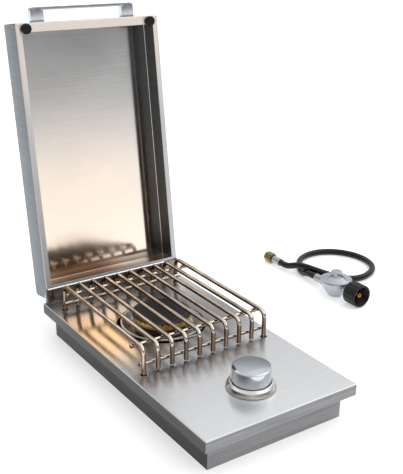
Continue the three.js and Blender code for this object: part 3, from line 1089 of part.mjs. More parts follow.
// Flat bar handle with two broad legs
function makeHandle(lid) {
  const seat = LID_FRONT_FACE - SEAT_GAP;
  const half = HANDLE_WIDTH / 2;
  const legInner = half - HANDLE_LEG;
  const front = -HANDLE_RISE;
  const grip = front + HANDLE_GRIP;
  const shape = new THREE.Shape();
  shape.moveTo(-half, 0);
  shape.lineTo(-half, front + HANDLE_CORNER);
  shape.absarc(HANDLE_CORNER - half, front + HANDLE_CORNER, HANDLE_CORNER, Math.PI, 1.5 * Math.PI, false);
  shape.absarc(half - HANDLE_CORNER, front + HANDLE_CORNER, HANDLE_CORNER, 1.5 * Math.PI, 2 * Math.PI, false);
  shape.lineTo(half, 0);
  shape.lineTo(legInner, 0);
  const innerX = legInner - HANDLE_INNER_CORNER;
  const innerZ = grip + HANDLE_INNER_CORNER;
  shape.absarc(innerX, innerZ, HANDLE_INNER_CORNER, 0, -Math.PI / 2, true);
  shape.absarc(-innerX, innerZ, HANDLE_INNER_CORNER, -Math.PI / 2, -Math.PI,
    true);
  shape.lineTo(-legInner, 0);
  const plate = new THREE.ExtrudeGeometry(shape,
    { depth: HANDLE_DEPTH, bevelEnabled: false, curveSegments: CORNER_STEPS });
  const z = LID_RIM + (LID_DEPTH - HANDLE_DEPTH) / 2;
  const bores = handleScrewPlaces().map(([x, height]) =>
    bar([x, seat - HANDLE_SCREW_GRIP - SEAT_GAP, height], [x, seat + CUT_OVERRUN, height],
      HANDLE_SCREW_RADIUS + SCREW_CLEARANCE, SMALL_SIDES));
  piece('lid_handle', cut(solid(plate.translate(0, seat, z)), ...bores), POLISHED_STEEL, lid);

  const headBack = LID_FRONT_FACE + LID_SHEET + SEAT_GAP;
  const names = ['handle_screw_left', 'handle_screw_right'];
  handleScrewPlaces().forEach(([x, height], index) => {
    const headFront = headBack + HANDLE_SCREW_HEAD_HEIGHT;
    const screw = join(
      bar([x, headBack, height], [x, headFront, height], HANDLE_SCREW_HEAD_RADIUS, SMALL_SIDES),
      bar([x, seat - HANDLE_SCREW_GRIP, height], [x, headFront - HANDLE_SCREW_HEAD_HEIGHT / 2, height],
        HANDLE_SCREW_RADIUS, SMALL_SIDES));
    piece(names[index], screw, ZINC_STEEL, lid);
  });
}

// Push-in rubber bumpers that hold the closed lid off the deck
function makeBumpers(lid) {
  const seat = LID_RIM - SEAT_GAP;
  const bottom = seat - BUMPER_RISE;
  const flangeTop = LID_RIM + LID_SHEET + SEAT_GAP;
  const names = ['lid_bumper_left', 'lid_bumper_right'];
  both.forEach((side, index) => {
    const [x, y] = bumperPlace(side);
    const bumper = turned([
      [0, bottom], [BUMPER_RADIUS - BUMPER_EDGE, bottom], [BUMPER_RADIUS, bottom + BUMPER_EDGE],
      [BUMPER_RADIUS, seat],
      [BUMPER_STEM_RADIUS, seat], [BUMPER_STEM_RADIUS, flangeTop], [BUMPER_BARB_RADIUS, flangeTop],
      [BUMPER_STEM_RADIUS, flangeTop + BUMPER_BARB_HEIGHT], [0, flangeTop + BUMPER_BARB_HEIGHT],
    ], ROUND_SIDES);
    piece(names[index], bumper, BLACK_RUBBER, lid).position.set(x, y, 0);
  });
}

// Regulator: the lower casting with its two bosses, and the bonnet over it
function makeRegulator(parent) {
  const place = new THREE.Group();
  place.position.set(REGULATOR_X, REGULATOR_Y, 0);
  parent.add(place);
  const flangeTop = REGULATOR_FLANGE_LEVEL + REGULATOR_FLANGE_THICKNESS;
  const casting = turned([
    [0, 0], [REGULATOR_FOOT_RADIUS, 0], [REGULATOR_FOOT_RADIUS, REGULATOR_FOOT_HEIGHT],
    [REGULATOR_BOWL_RADIUS, REGULATOR_FLANGE_LEVEL], [REGULATOR_FLANGE_RADIUS, REGULATOR_FLANGE_LEVEL],
    [REGULATOR_FLANGE_RADIUS, flangeTop], [0, flangeTop],
  ], ROUND_SIDES);
  const ends = [[-1, REGULATOR_INLET_HEIGHT], [1, REGULATOR_OUTLET_HEIGHT]];
  const bosses = ends.map(([side, z]) =>
    bar([0, 0, z], [0, side * REGULATOR_BOSS_REACH, z], REGULATOR_BOSS_RADIUS, SMALL_SIDES));
  const ports = ends.map(([side, z]) => bar([0, side * (REGULATOR_BOSS_REACH + CUT_OVERRUN), z],
    [0, side * REGULATOR_FOOT_RADIUS, z], REGULATOR_PORT_RADIUS, ROD_SIDES));
  piece('regulator_body', cut(join(casting, ...bosses), ...ports), ALUMINIUM, place);

  const rimBottom = flangeTop + SEAT_GAP;
  const rimTop = rimBottom + BONNET_RIM;
  const coneTop = rimTop + BONNET_CONE_RISE;
  const bossTop = coneTop + BONNET_BOSS_RISE;
  const bonnet = turned([
    [0, rimBottom], [REGULATOR_FLANGE_RADIUS, rimBottom], [REGULATOR_FLANGE_RADIUS, rimTop],
    [BONNET_STEP_RADIUS, rimTop], [BONNET_CONE_RADIUS, coneTop], [BONNET_BOSS_RADIUS, coneTop],
    [BONNET_BOSS_RADIUS, bossTop - BONNET_BOSS_CHAMFER], [BONNET_BOSS_RADIUS - BONNET_BOSS_CHAMFER, bossTop],
    [0, bossTop],
  ], ROUND_SIDES);
  piece('regulator_bonnet', bonnet, ALUMINIUM, place);

  makeTankNut(place);
}

// Tank nut that spins on the nipple's collar
function makeTankNut(place) {
  const z = REGULATOR_INLET_HEIGHT;
  const nippleStart = -REGULATOR_BOSS_REACH - SEAT_GAP;
  const nutBack = nippleStart - TANK_NUT_STANDOFF;
  const nutFront = nutBack - TANK_NUT_LENGTH;
  const cavityBack = nutBack - TANK_NUT_BACK_WALL;
  const cavity = TANK_NUT_RADIUS - TANK_NUT_WALL;
  const nut = turnedAlongY(ring([
    [NIPPLE_RADIUS + SCREW_CLEARANCE, nutBack], [TANK_NUT_RADIUS - FLUTE_DEPTH, nutBack],
    [TANK_NUT_RADIUS, nutBack - FLUTE_DEPTH], [TANK_NUT_RADIUS, nutFront], [cavity, nutFront],
    [cavity, cavityBack], [NIPPLE_RADIUS + SCREW_CLEARANCE, cavityBack],
  ]));
  const flutes = [];
  for (let index = 0; index < TANK_NUT_FLUTES; index++) {
    const angle = 2 * Math.PI * index / TANK_NUT_FLUTES;
    const reach = TANK_NUT_RADIUS + FLUTE_RADIUS - FLUTE_DEPTH;
    const [x, height] = [reach * Math.cos(angle), reach * Math.sin(angle)];
    const ends = [nutBack + CUT_OVERRUN, nutFront - CUT_OVERRUN].map((y) => [x, y, height]);
    flutes.push(bar(...ends, FLUTE_RADIUS, ROD_SIDES));
  }
  piece('tank_nut', cut(nut, ...flutes), BLACK_PLASTIC, place).position.z = z;

  const collarBack = cavityBack - SEAT_GAP;
  const collarFront = collarBack - NIPPLE_COLLAR_LENGTH;
  const noseFront = collarFront - NIPPLE_NOSE_LENGTH;
  const nipple = turnedAlongY(ring([
    [NIPPLE_BORE, nippleStart], [NIPPLE_RADIUS, nippleStart], [NIPPLE_RADIUS, collarBack],
    [NIPPLE_COLLAR_RADIUS, collarBack], [NIPPLE_COLLAR_RADIUS, collarFront],
    [NIPPLE_NOSE_RADIUS, collarFront],
    [NIPPLE_NOSE_RADIUS, noseFront + NIPPLE_TIP_LENGTH], [NIPPLE_TIP_RADIUS, noseFront],
    [NIPPLE_BORE, noseFront],
  ]), ROUND_SIDES);
  piece('tank_nipple', nipple, BRASS, place).position.z = z;
}

// Hose, its crimped sleeves and the flare nut on its tail
function makeHose(parent) {
  const path = new THREE.CatmullRomCurve3(HOSE_ROUTE.map((place) => new THREE.Vector3(...place)));
  piece('gas_hose', drawn(path, HOSE_STEPS, HOSE_RADIUS, HOSE_SIDES), BLACK_RUBBER, parent);

  const sleeve = (x, start, z) =>
    bar([x, start, z], [x, start + SLEEVE_LENGTH, z], SLEEVE_RADIUS, SMALL_SIDES);
  const nearStart = REGULATOR_Y + REGULATOR_BOSS_REACH + SEAT_GAP;
  const farStart = HOSE_END_Y + SEAT_GAP;
  piece('hose_sleeve_regulator_end', sleeve(REGULATOR_X, nearStart, REGULATOR_OUTLET_HEIGHT),
    ZINC_STEEL, parent);
  piece('hose_sleeve_burner_end', sleeve(FLARE_X, farStart, FLARE_HEIGHT), ZINC_STEEL, parent);

  const tailStart = farStart + SLEEVE_LENGTH + SEAT_GAP;
  const tailEnd = tailStart + FLARE_TAIL_LENGTH;
  const tail = turnedAlongY(ring([
    [INLET_BORE, tailStart], [FLARE_TAIL_RADIUS, tailStart],
    [FLARE_TAIL_RADIUS, tailEnd - FLARE_COLLAR_LENGTH],
    [FLARE_COLLAR_RADIUS, tailEnd - FLARE_COLLAR_LENGTH / 2], [FLARE_COLLAR_RADIUS, tailEnd],
    [INLET_BORE, tailEnd],
  ]), SMALL_SIDES);
  piece('flare_tail', tail, BRASS, parent).position.set(FLARE_X, 0, FLARE_HEIGHT);

  const nutStart = tailStart + FLARE_NUT_STANDOFF;
  const nutEnd = nutStart + FLARE_NUT_LENGTH;
  const cavityStart = nutStart + FLARE_NUT_BACK_WALL;
  const nut = cut(
    bar([0, nutStart, 0], [0, nutEnd, 0], FLARE_NUT_RADIUS, HEX_SIDES),
    bar([0, nutStart - CUT_OVERRUN, 0], [0, nutEnd, 0], FLARE_TAIL_RADIUS + SCREW_CLEARANCE, SMALL_SIDES),
    bar([0, cavityStart, 0], [0, nutEnd + CUT_OVERRUN, 0], FLARE_NUT_CAVITY, SMALL_SIDES));
  piece('flare_nut', nut, BRASS, parent).position.set(FLARE_X, 0, FLARE_HEIGHT);
}

const sideBurner = new THREE.Group();
sideBurner.name = 'side_burner';
makeDeck(sideBurner);
makeHousing(sideBurner);
makeGrate(sideBurner);
makeBowl(sideBurner);
makeHead(sideBurner);
makeCap(sideBurner);
makePan(sideBurner);
makeCradle(sideBurner);
makeElectrode(sideBurner);
makeValve(sideBurner);
makeKnob(sideBurner);
makeOrifice(sideBurner);
makeMixingTube(sideBurner);
makeIgniter(sideBurner);
makeFeed(sideBurner);
makeHingeBracket(sideBurner);
makeRegulator(sideBurner);
makeHose(sideBurner);

const lid = new THREE.Group();
lid.position.set(0, HINGE_Y, HINGE_Z);
lid.rotation.x = -Math.PI / 2 - LID_LEAN;
sideBurner.add(lid);
makeLidShell(lid);
makeHandle(lid);
makeBumpers(lid);

export default sideBurner;
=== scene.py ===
"""Built-in gas side burner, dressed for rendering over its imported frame.

Lengths in the mesh code are millimetres; finished meshes are metres, in the frame's own axes:
X to the right, Y to the back, Z up from the floor of the housing. The lid stands open.
A profile is a list of (radius, height) or (x, y), where a third number is that corner's own rounding.
"""

import math

import bmesh
import bpy
from mathutils import Matrix, Vector


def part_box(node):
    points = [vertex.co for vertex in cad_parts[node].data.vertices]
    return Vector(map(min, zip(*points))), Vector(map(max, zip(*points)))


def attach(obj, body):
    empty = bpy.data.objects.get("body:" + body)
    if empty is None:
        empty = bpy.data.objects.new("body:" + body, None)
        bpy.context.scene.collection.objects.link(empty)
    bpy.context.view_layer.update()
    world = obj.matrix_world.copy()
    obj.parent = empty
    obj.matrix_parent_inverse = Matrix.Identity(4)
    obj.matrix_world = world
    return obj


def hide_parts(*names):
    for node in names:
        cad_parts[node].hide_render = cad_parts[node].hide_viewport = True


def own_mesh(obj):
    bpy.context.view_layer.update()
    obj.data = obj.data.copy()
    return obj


bl_info = {
    "name": "Built-in side burner",
    "version": (1, 0, 0),
    "blender": (4, 5, 0),
    "location": "3D View > Sidebar > Side burner",
    "description": "Makes the pieces of a built-in gas side burner over its packed frame",
    "category": "Object",
}

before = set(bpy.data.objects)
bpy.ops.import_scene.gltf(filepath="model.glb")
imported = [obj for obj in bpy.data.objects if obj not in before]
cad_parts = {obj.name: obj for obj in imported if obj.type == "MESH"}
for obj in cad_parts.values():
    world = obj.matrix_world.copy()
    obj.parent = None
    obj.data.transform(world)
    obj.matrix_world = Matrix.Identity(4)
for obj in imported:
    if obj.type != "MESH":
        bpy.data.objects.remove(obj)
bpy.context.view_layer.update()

MM = 0.001

# Number of faces round a turned piece, by how large it shows
TURNED_SIDES = 96
FITTING_SIDES = 64
PIN_SIDES = 48
SCREW_SIDES = 40
SMALL_SIDES = 32
DRILL_SIDES = 24
SCREW_HOLE_SIDES = 20

LEFT_AND_RIGHT = (("left", -1), ("right", 1))

# A corner whose two sides stand wider apart than this is left sharp
NEARLY_STRAIGHT = math.radians(177)


def extent(node, axis):
    """Lowest and highest coordinate of a frame node along one axis, in millimetres."""
    low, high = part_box(node)
    return low[axis] / MM, high[axis] / MM


def middle(node, axis):
    """Middle of a frame node along one axis, in millimetres."""
    return sum(extent(node, axis)) / 2


def span(node, axis):
    """The extent of a frame node along one axis, and its length."""
    low, high = extent(node, axis)
    return low, high, high - low


def placed(x, y, z, degrees=0, axis="X"):
    """A place in millimetres, turned about one axis."""
    return Matrix.Translation((x, y, z)) @ Matrix.Rotation(math.radians(degrees), 4, axis)


# Places that several pieces share, in millimetres
DECK_LEFT, DECK_RIGHT = extent("deck_plate", 0)
DECK_FRONT, DECK_BACK = extent("deck_plate", 1)
DECK_TOP = extent("deck_plate", 2)[1]
APRON_DEPTH = 20
APRON_BOTTOM = DECK_TOP - APRON_DEPTH
HOUSING_LEFT, HOUSING_RIGHT = -136, 136
HOUSING_FRONT, HOUSING_BACK = -262, 262
BURNER_Y = middle("burner_cap", 1)
PAN_SEAT = 61.3
KNOB_Y = middle("control_knob", 1)
ELECTRODE = middle("electrode_insulator", 0), middle("electrode_insulator", 1)
VALVE_STEM_BORE = 7
VALVE_SCREW_X, VALVE_SCREW_BORE = 16, 2.4
HINGE_Y, HINGE_Z = 269.5, DECK_TOP + 17.8
HINGE_PIN_BORE = 2.8
LID_OPEN_TURN = -99
LID_PLACE = placed(0, HINGE_Y, HINGE_Z, LID_OPEN_TURN)
# The lid as it lies closed, measured from its hinge pin
LID_HALF, LID_FRONT, LID_BACK, LID_RIM, LID_FACE = 150.5, -517.5, -15, -6, 48.6
# How far its flange reaches inwards from the sides, the front and the back
LID_FLANGE_REACH = (11.5, 17, 6)
# Material indices of the lid's faces, besides 0 for its inside
LID_FLANGE, LID_OUTSIDE = 1, 2
REGULATOR_X, REGULATOR_Y = 468, 107
TANK_NUT_Z, OUTLET_Z = 26, 18
INLET_X, INLET_Z, INLET_BORE = 105, 32, 8.4

# Route of the hose's middle line, from the regulator to the flare nut
HOSE_ROUTE = [
    (468, 171.6, 18), (468, 187, 18), (468.6, 199, 16.8), (470.5, 211, 13), (474, 223, 9),
    (479, 236, 7.8), (488, 252, 7.8), (502, 270, 7.8), (522, 288, 7.8), (547, 299.5, 7.8),
    (575, 303, 7.8), (603, 297, 7.8), (629, 280, 7.8), (647, 255, 7.8), (655.5, 226, 7.8),
    (654, 197, 7.8), (643, 170, 7.8), (623, 149, 7.8), (598, 136.5, 7.8), (570, 132, 7.8),
    (543, 138, 8.8), (518, 152, 13), (498, 173, 19), (482.5, 199, 23.8), (473.5, 222, 25.2),
    (468.5, 237, 23.4), (465, 251, 18.5), (463, 263, 14.5), (462, 275, 13), (462, 290, 13),
]

# Camera that was fitted to the photograph, in metres
CAMERA_PLACE = (-0.7674, -1.1403, 0.7958)
CAMERA_RIGHT = Vector((0.82393603, -0.56639428, 0.01808139))
CAMERA_UP = Vector((0.18943171, 0.3053584, 0.93320516))
CAMERA_LENS = 76.29
# How far the floor reaches each way, in millimetres
FLOOR_REACH = 12000


class SideBurnerSizes(bpy.types.PropertyGroup):
    """Sizes that a user may change."""

    deck_fold: bpy.props.FloatProperty(
        name="Deck fold", description="Outer radius of the deck's folded edges",
        default=2.2 * MM, unit="LENGTH", subtype="DISTANCE")
    lid_fold: bpy.props.FloatProperty(
        name="Lid fold", description="Outer radius of the lid's folded edges",
        default=2.6 * MM, unit="LENGTH", subtype="DISTANCE")
    sheet: bpy.props.FloatProperty(
        name="Sheet", description="Thickness of the deck and lid sheet",
        default=1.5 * MM, unit="LENGTH", subtype="DISTANCE")
    rod_radius: bpy.props.FloatProperty(
        name="Rod radius", description="Radius of the grate's long rods",
        default=4 * MM, unit="LENGTH", subtype="DISTANCE")
    rod_bend: bpy.props.FloatProperty(
        name="Rod bend", description="Bend radius of the grate's long rods",
        default=13 * MM, unit="LENGTH", subtype="DISTANCE")
    rod_count: bpy.props.IntProperty(
        name="Rods", description="Number of the grate's long rods", default=10, min=3)
    port_count: bpy.props.IntProperty(
        name="Ports", description="Number of flame ports round the burner head", default=30, min=6)
    flute_count: bpy.props.IntProperty(
        name="Flutes", description="Number of grip flutes round the tank nut", default=12, min=3)
    hose_diameter: bpy.props.FloatProperty(
        name="Hose diameter", description="Outer diameter of the gas hose",
        default=15 * MM, unit="LENGTH", subtype="DISTANCE")


class SideBurnerColours(bpy.types.PropertyGroup):
    """Base colours of the finishes, as sRGB."""

    steel: bpy.props.StringProperty(
        name="Brushed steel", description="Base colour of the brushed sheet", default="#d5d6d8")
    chrome: bpy.props.StringProperty(
        name="Bright plating", description="Base colour of the plated knob and handle", default="#d8dde4")
    tinted: bpy.props.StringProperty(
        name="Heat-tinted steel", description="Straw colour of the grate rods", default="#b09c86")
    rubber: bpy.props.StringProperty(
        name="Rubber", description="Base colour of the hose and bumpers", default="#101114")
    brass: bpy.props.StringProperty(
        name="Brass", description="Base colour of the gas fittings", default="#c9a65e")


def linear(colour):
    """Turns an sRGB hex colour into the linear RGBA that Blender's sockets take."""
    values = [int(colour[place:place + 2], 16) / 255 for place in (1, 3, 5)]
    return [v / 12.92 if v <= 0.04045 else ((v + 0.055) / 1.055) ** 2.4 for v in values] + [1]


def dimmed(colour, share):
    """The same colour with its light cut to a share."""
    return [share * v for v in linear(colour)[:3]] + [1]


def put(tree, kind, settings=(), inputs=()):
    """Adds a node with its settings, and its inputs, each a value or the socket that feeds it."""
    node = tree.nodes.new(kind)
    for key, value in dict(settings).items():
        setattr(node, key, value)
    for key, value in dict(inputs).items():
        if isinstance(value, bpy.types.NodeSocket):
            tree.links.new(value, node.inputs[key])
        else:
            node.inputs[key].default_value = value
    return node


def maths(tree, operation, *values):
    """The result of a sum on numbers or sockets."""
    return put(tree, "ShaderNodeMath", {"operation": operation}, dict(enumerate(values))).outputs[0]


def ranged(tree, value, source, target, smooth=False):
    """Takes a value from the source range to the target range, on an S-curve if smooth."""
    settings = {"interpolation_type": "SMOOTHSTEP"} if smooth else {}
    return put(tree, "ShaderNodeMapRange", settings, {
        "Value": value, "From Min": source[0], "From Max": source[1],
        "To Min": target[0], "To Max": target[1]}).outputs[0]


def blended(tree, factor, first, second, way="MIX"):
    """Mixes two colours."""
    return put(tree, "ShaderNodeMix", {"data_type": "RGBA", "blend_type": way}, {
        "Factor": factor, 6: first, 7: second}).outputs[2]


def noise(tree, place, scale, detail, roughness=0.5):
    """The grey of a noise pattern, with so many forms in a metre."""
    return put(tree, "ShaderNodeTexNoise", inputs={
        "Vector": place, "Scale": scale, "Detail": detail, "Roughness": roughness}).outputs["Fac"]


def coordinates(tree, kind="Object"):
    """A place or a direction on the piece."""
    return put(tree, "ShaderNodeTexCoord").outputs[kind]


def upwards(tree, direction):
    """How far a direction looks up."""
    return put(tree, "ShaderNodeSeparateXYZ", inputs={"Vector": direction}).outputs["Z"]


def distance_from(tree, place, centre, scale=(1, 1, 1)):
    """How far a place, scaled by axis, is from a point in millimetres."""
    moved = put(tree, "ShaderNodeMapping", inputs={
        "Vector": place, "Location": [-v * MM for v in centre], "Scale": scale})
    away = put(tree, "ShaderNodeVectorMath", {"operation": "LENGTH"}, {0: moved.outputs[0]})
    return away.outputs["Value"]


def bumped(tree, height, strength, distance):
    """A surface roughened by a grey pattern, to a depth in millimetres."""
    return put(tree, "ShaderNodeBump", inputs={
        "Height": height, "Strength": strength, "Distance": distance * MM}).outputs[0]


def blank_material(name, values):
    """A node material whose shader has the values and is joined to the output."""
    material = bpy.data.materials.new(name)
    material.use_nodes = True
    tree = material.node_tree
    tree.nodes.clear()
    shader = put(tree, "ShaderNodeBsdfPrincipled", inputs=values)
    put(tree, "ShaderNodeOutputMaterial", inputs={"Surface": shader.outputs["BSDF"]})
    return material, tree, shader


def feed(tree, shader, colour, roughness, skin=None):
    """Joins the shader's colour, roughness and surface to what makes them."""
    tree.links.new(colour, shader.inputs["Base Color"])
    if roughness:
        tree.links.new(roughness, shader.inputs["Roughness"])
    if skin:
        tree.links.new(skin, shader.inputs["Normal"])


# Most of a noise pattern lies between these greys
NOISE_SPAN = (0.3, 0.7)
# A face counts as bent down below the first, and as the sheet's main face above the second
MAIN_FACE = (0.2, 0.7)


def brushed_steel(name, colour, roughness, shade_tones=(0.63, 0.28), blur=0.2, stretch=0.8, main="Z", painted_light=(),
                  polish=0):
    """Cold-rolled stainless sheet, brushed along X before folding: a sheen drawn out across the brush lines.

    The pair of tone values is painted shade: the faces bent down across and along the brush lines are
    darkened by it against the main face, and blur is their added roughness. stretch is how far reflections
    are drawn out. main is the axis that the main face looks along. The list of patches tints in painted
    light, the glow of the flame and the shade and reflection
    of the grate: colour, middle, inner and outer reach in millimetres, and depth. polish is how much smoother
    the sheet is made under the patches.
    """
    material, tree, shader = blank_material(name, {"Metallic": 1, "Anisotropic": stretch})
    place = coordinates(tree)
    parts = put(tree, "ShaderNodeSeparateXYZ", inputs={"Vector": coordinates(tree, "Normal")})
    sideways = maths(tree, "GREATER_THAN", maths(tree, "ABSOLUTE", parts.outputs["X"]), 0.8)
    level = maths(tree, "ABSOLUTE", parts.outputs[main])
    # Brush lines are about 0.3 mm apart, and drawn 3 mm apart so that they show
    flat_lines = put(tree, "ShaderNodeMapping", inputs={"Vector": place, "Scale": (9, 330, 330)})
    side_lines = put(tree, "ShaderNodeMapping", inputs={"Vector": place, "Scale": (330, 9, 330)})
    chosen = put(tree, "ShaderNodeMix", {"data_type": "VECTOR"}, {
        "Factor": sideways, 4: flat_lines.outputs[0], 5: side_lines.outputs[0]})
    lines = noise(tree, chosen.outputs[1], 1, 3, 0.6)
    drawn_out = put(tree, "ShaderNodeMix", {"data_type": "VECTOR"}, {
        "Factor": sideways, 4: (0, 1, 1), 5: (0, 0, 1)})
    tree.links.new(drawn_out.outputs[1], shader.inputs["Tangent"])
    # Handling and rolling leave faint clouds a hand's breadth wide
    clouds = noise(tree, place, 9, 2)
    # Streaks are faint on the polished main face, and plain on the bent-down ones
    faint = ranged(tree, level, MAIN_FACE, (0.74, 0.93))
    streaks = ranged(tree, lines, NOISE_SPAN, (faint, 1))
    base = blended(tree, 1, linear(colour), streaks, "MULTIPLY")
    inner = maths(tree, "SUBTRACT", 1, sideways)
    painted_patches = 0.0
    # Each patch tints painted light or shade into the colour, except on the left and right faces
    for patch_colour, centre, near, reach, depth in painted_light:
        ragged = maths(tree, "MULTIPLY_ADD", clouds, 0.06, distance_from(tree, place, centre))
        patch_share = ranged(tree, ragged, (near * MM, reach * MM), (depth, 0), smooth=True)
        patch_mask = maths(tree, "MULTIPLY", patch_share, inner)
        base = blended(tree, patch_mask, base, linear(patch_colour))
        painted_patches = maths(tree, "MAXIMUM", painted_patches, patch_mask)
    # Painted shade: the faces bent down from the main face are darkened against it, the left and right ones
    # the most, and dull below is the colour with this painted shade in it
    side_shade = put(tree, "ShaderNodeMix", inputs={0: sideways, 2: shade_tones[0], 3: shade_tones[1]}).outputs[0]
    facing_shade = ranged(tree, level, MAIN_FACE, (side_shade, 1))
    dull = blended(tree, 1, base, facing_shade, "MULTIPLY")
    sheen = ranged(tree, clouds, NOISE_SPAN, (roughness - 0.02, roughness + 0.03))
    blurred = ranged(tree, level, MAIN_FACE, (blur, 0))
    rough = maths(tree, "ADD", sheen, blurred)
    feed(tree, shader, dull, maths(tree, "MULTIPLY_ADD", painted_patches, -polish, rough))
    return material


def bright_plating(name, colour, roughness, centre=(0, 0), top_shade=1):
    """Nickel-chrome plated die casting, polished on a wheel: near-mirror with faint rings round its axis.

    The top tone is painted shade that darkens its level turned top down to it.
    """
    material, tree, shader = blank_material(name, {"Metallic": 1})
    place = coordinates(tree)
    # Polishing rings are drawn 0.8 mm apart
    rings = put(tree, "ShaderNodeTexNoise", {"noise_dimensions": "1D"}, {
        "W": distance_from(tree, place, (*centre, 0), (1, 1, 0)), "Scale": 1250, "Detail": 1})
    smears = noise(tree, place, 60, 3)
    tone = blended(tree, rings.outputs["Fac"], dimmed(colour, 0.9), linear(colour))
    # Painted shade that darkens the level top
    painted_top_shade = ranged(tree, upwards(tree, coordinates(tree, "Normal")), (0.93, 0.99), (1, top_shade))
    top_shaded_tone = blended(tree, 1, tone, painted_top_shade, "MULTIPLY")
    feed(tree, shader, top_shaded_tone, ranged(tree, smears, NOISE_SPAN, (roughness * 0.8, roughness * 1.3)))
    return material


def tinted_rod_with_painted_light(name, colour, roughness):
    """Drawn stainless rod after some firing, with tint bands from the firing along it, and with painted
    light: a painted highlight along its middle and on its top, and painted shade in bronze and dark brown
    towards its edges and on its underside, which also has soot from the flame.
    """
    material, tree, shader = blank_material(name, {"Metallic": 1})
    # Heat bands drift over 20 to 40 mm of rod
    bands = noise(tree, coordinates(tree), 24, 3, 0.6)
    # Painted shade towards the edges that face away from the eye, and a painted highlight along the middle
    # that faces it
    edge = put(tree, "ShaderNodeLayerWeight", inputs={"Blend": 0.5}).outputs["Facing"]
    drift = maths(tree, "MULTIPLY_ADD", bands, 0.5, -0.25)
    # The tops are lighter by a painted highlight, and the undersides, which face the flame, are darker by
    # soot and by painted shade
    highlight_and_soot = maths(tree, "MULTIPLY_ADD", upwards(tree, coordinates(tree, "Normal")), -0.45, edge)
    tint_and_painted_light = put(tree, "ShaderNodeValToRGB", inputs={"Fac": maths(tree, "ADD", highlight_and_soot, drift)})
    stops = tint_and_painted_light.color_ramp.elements
    # The stops run from a painted highlight through the rod's own colour to bronze and a dark brown of
    # painted shade and soot
    for spot, shade in ((0.0, "#ded5ca"), (0.12, colour), (0.34, "#80604a"), (0.5, "#2b1d16")):
        stops.new(spot).color = linear(shade)
    # The two stops that a ramp starts with
    stops.remove(stops[-1])
    stops.remove(stops[0])
    sheen = ranged(tree, bands, NOISE_SPAN, (roughness + 0.06, roughness - 0.03))
    feed(tree, shader, tint_and_painted_light.outputs[0], sheen)
    return material


def zinc_plate(name, colour, roughness):
    """Zinc-plated mild steel: a soft grey-blue spangle a few millimetres wide."""
    material, tree, shader = blank_material(name, {"Metallic": 1})
    spangle = put(tree, "ShaderNodeTexVoronoi", {"feature": "F1"}, {
        "Vector": coordinates(tree), "Scale": 260})
    grey = put(tree, "ShaderNodeSeparateColor", inputs={"Color": spangle.outputs["Color"]})
    tone = blended(tree, grey.outputs["Red"], dimmed(colour, 0.8), linear(colour))
    sheen = ranged(tree, grey.outputs["Green"], (0, 1), (roughness - 0.05, roughness + 0.07))
    feed(tree, shader, tone, sheen)
    return material


def casting(name, colour, roughness, grit, relief=0.25):
    """Die-cast or sand-cast metal: a fine grit skin that breaks up the light, darker in its pits."""
    material, tree, shader = blank_material(name, {"Metallic": 1})
    grains = noise(tree, coordinates(tree), 1 / (grit * MM), 4, 0.65)
    depth = ranged(tree, grains, (0.35, 0.6), (0, 1))
    tone = blended(tree, depth, dimmed(colour, 0.72), linear(colour))
    sheen = ranged(tree, grains, (0, 1), (roughness + 0.12, roughness - 0.1))
    feed(tree, shader, tone, sheen, bumped(tree, grains, relief, 0.4))
    return material


def turned_brass(name, colour, roughness):
    """Free-cutting brass from the lathe: yellow, with dull brown patches where it has been handled."""
    material, tree, shader = blank_material(name, {"Metallic": 1})
    tarnish = noise(tree, coordinates(tree), 90, 4, 0.6)
    spread = ranged(tree, tarnish, (0.4, 0.7), (0, 1))
    tone = blended(tree, spread, linear(colour), dimmed(colour, 0.55))
    feed(tree, shader, tone, ranged(tree, spread, (0, 1), (roughness, roughness + 0.15)))
    return material


def soft_black(name, colour, roughness, grain, gloss):
    """Extruded or moulded black rubber and nylon: dark with a waxy bloom and a fine moulded grain."""
    material, tree, shader = blank_material(name, {"IOR": 1.52, "Specular IOR Level": gloss})
    place = coordinates(tree)
    bloom = noise(tree, place, 30, 3)
    tone = blended(tree, bloom, dimmed(colour, 0.55), linear(colour))
    sheen = ranged(tree, bloom, NOISE_SPAN, (roughness - 0.04, roughness + 0.06))
    pores = noise(tree, place, 1 / (grain * MM), 1)
    feed(tree, shader, tone, sheen, bumped(tree, pores, 0.12, 0.2))
    return material


def glazed_ceramic(name):
    """Slip-cast alumina with a clear glaze: off-white, with a hard small highlight."""
    material, tree, shader = blank_material(name, {"IOR": 1.6, "Roughness": 0.18})
    stain = noise(tree, coordinates(tree), 120, 3)
    feed(tree, shader, blended(tree, stain, linear("#d9d2c4"), linear("#f1ede4")), None)
    return material


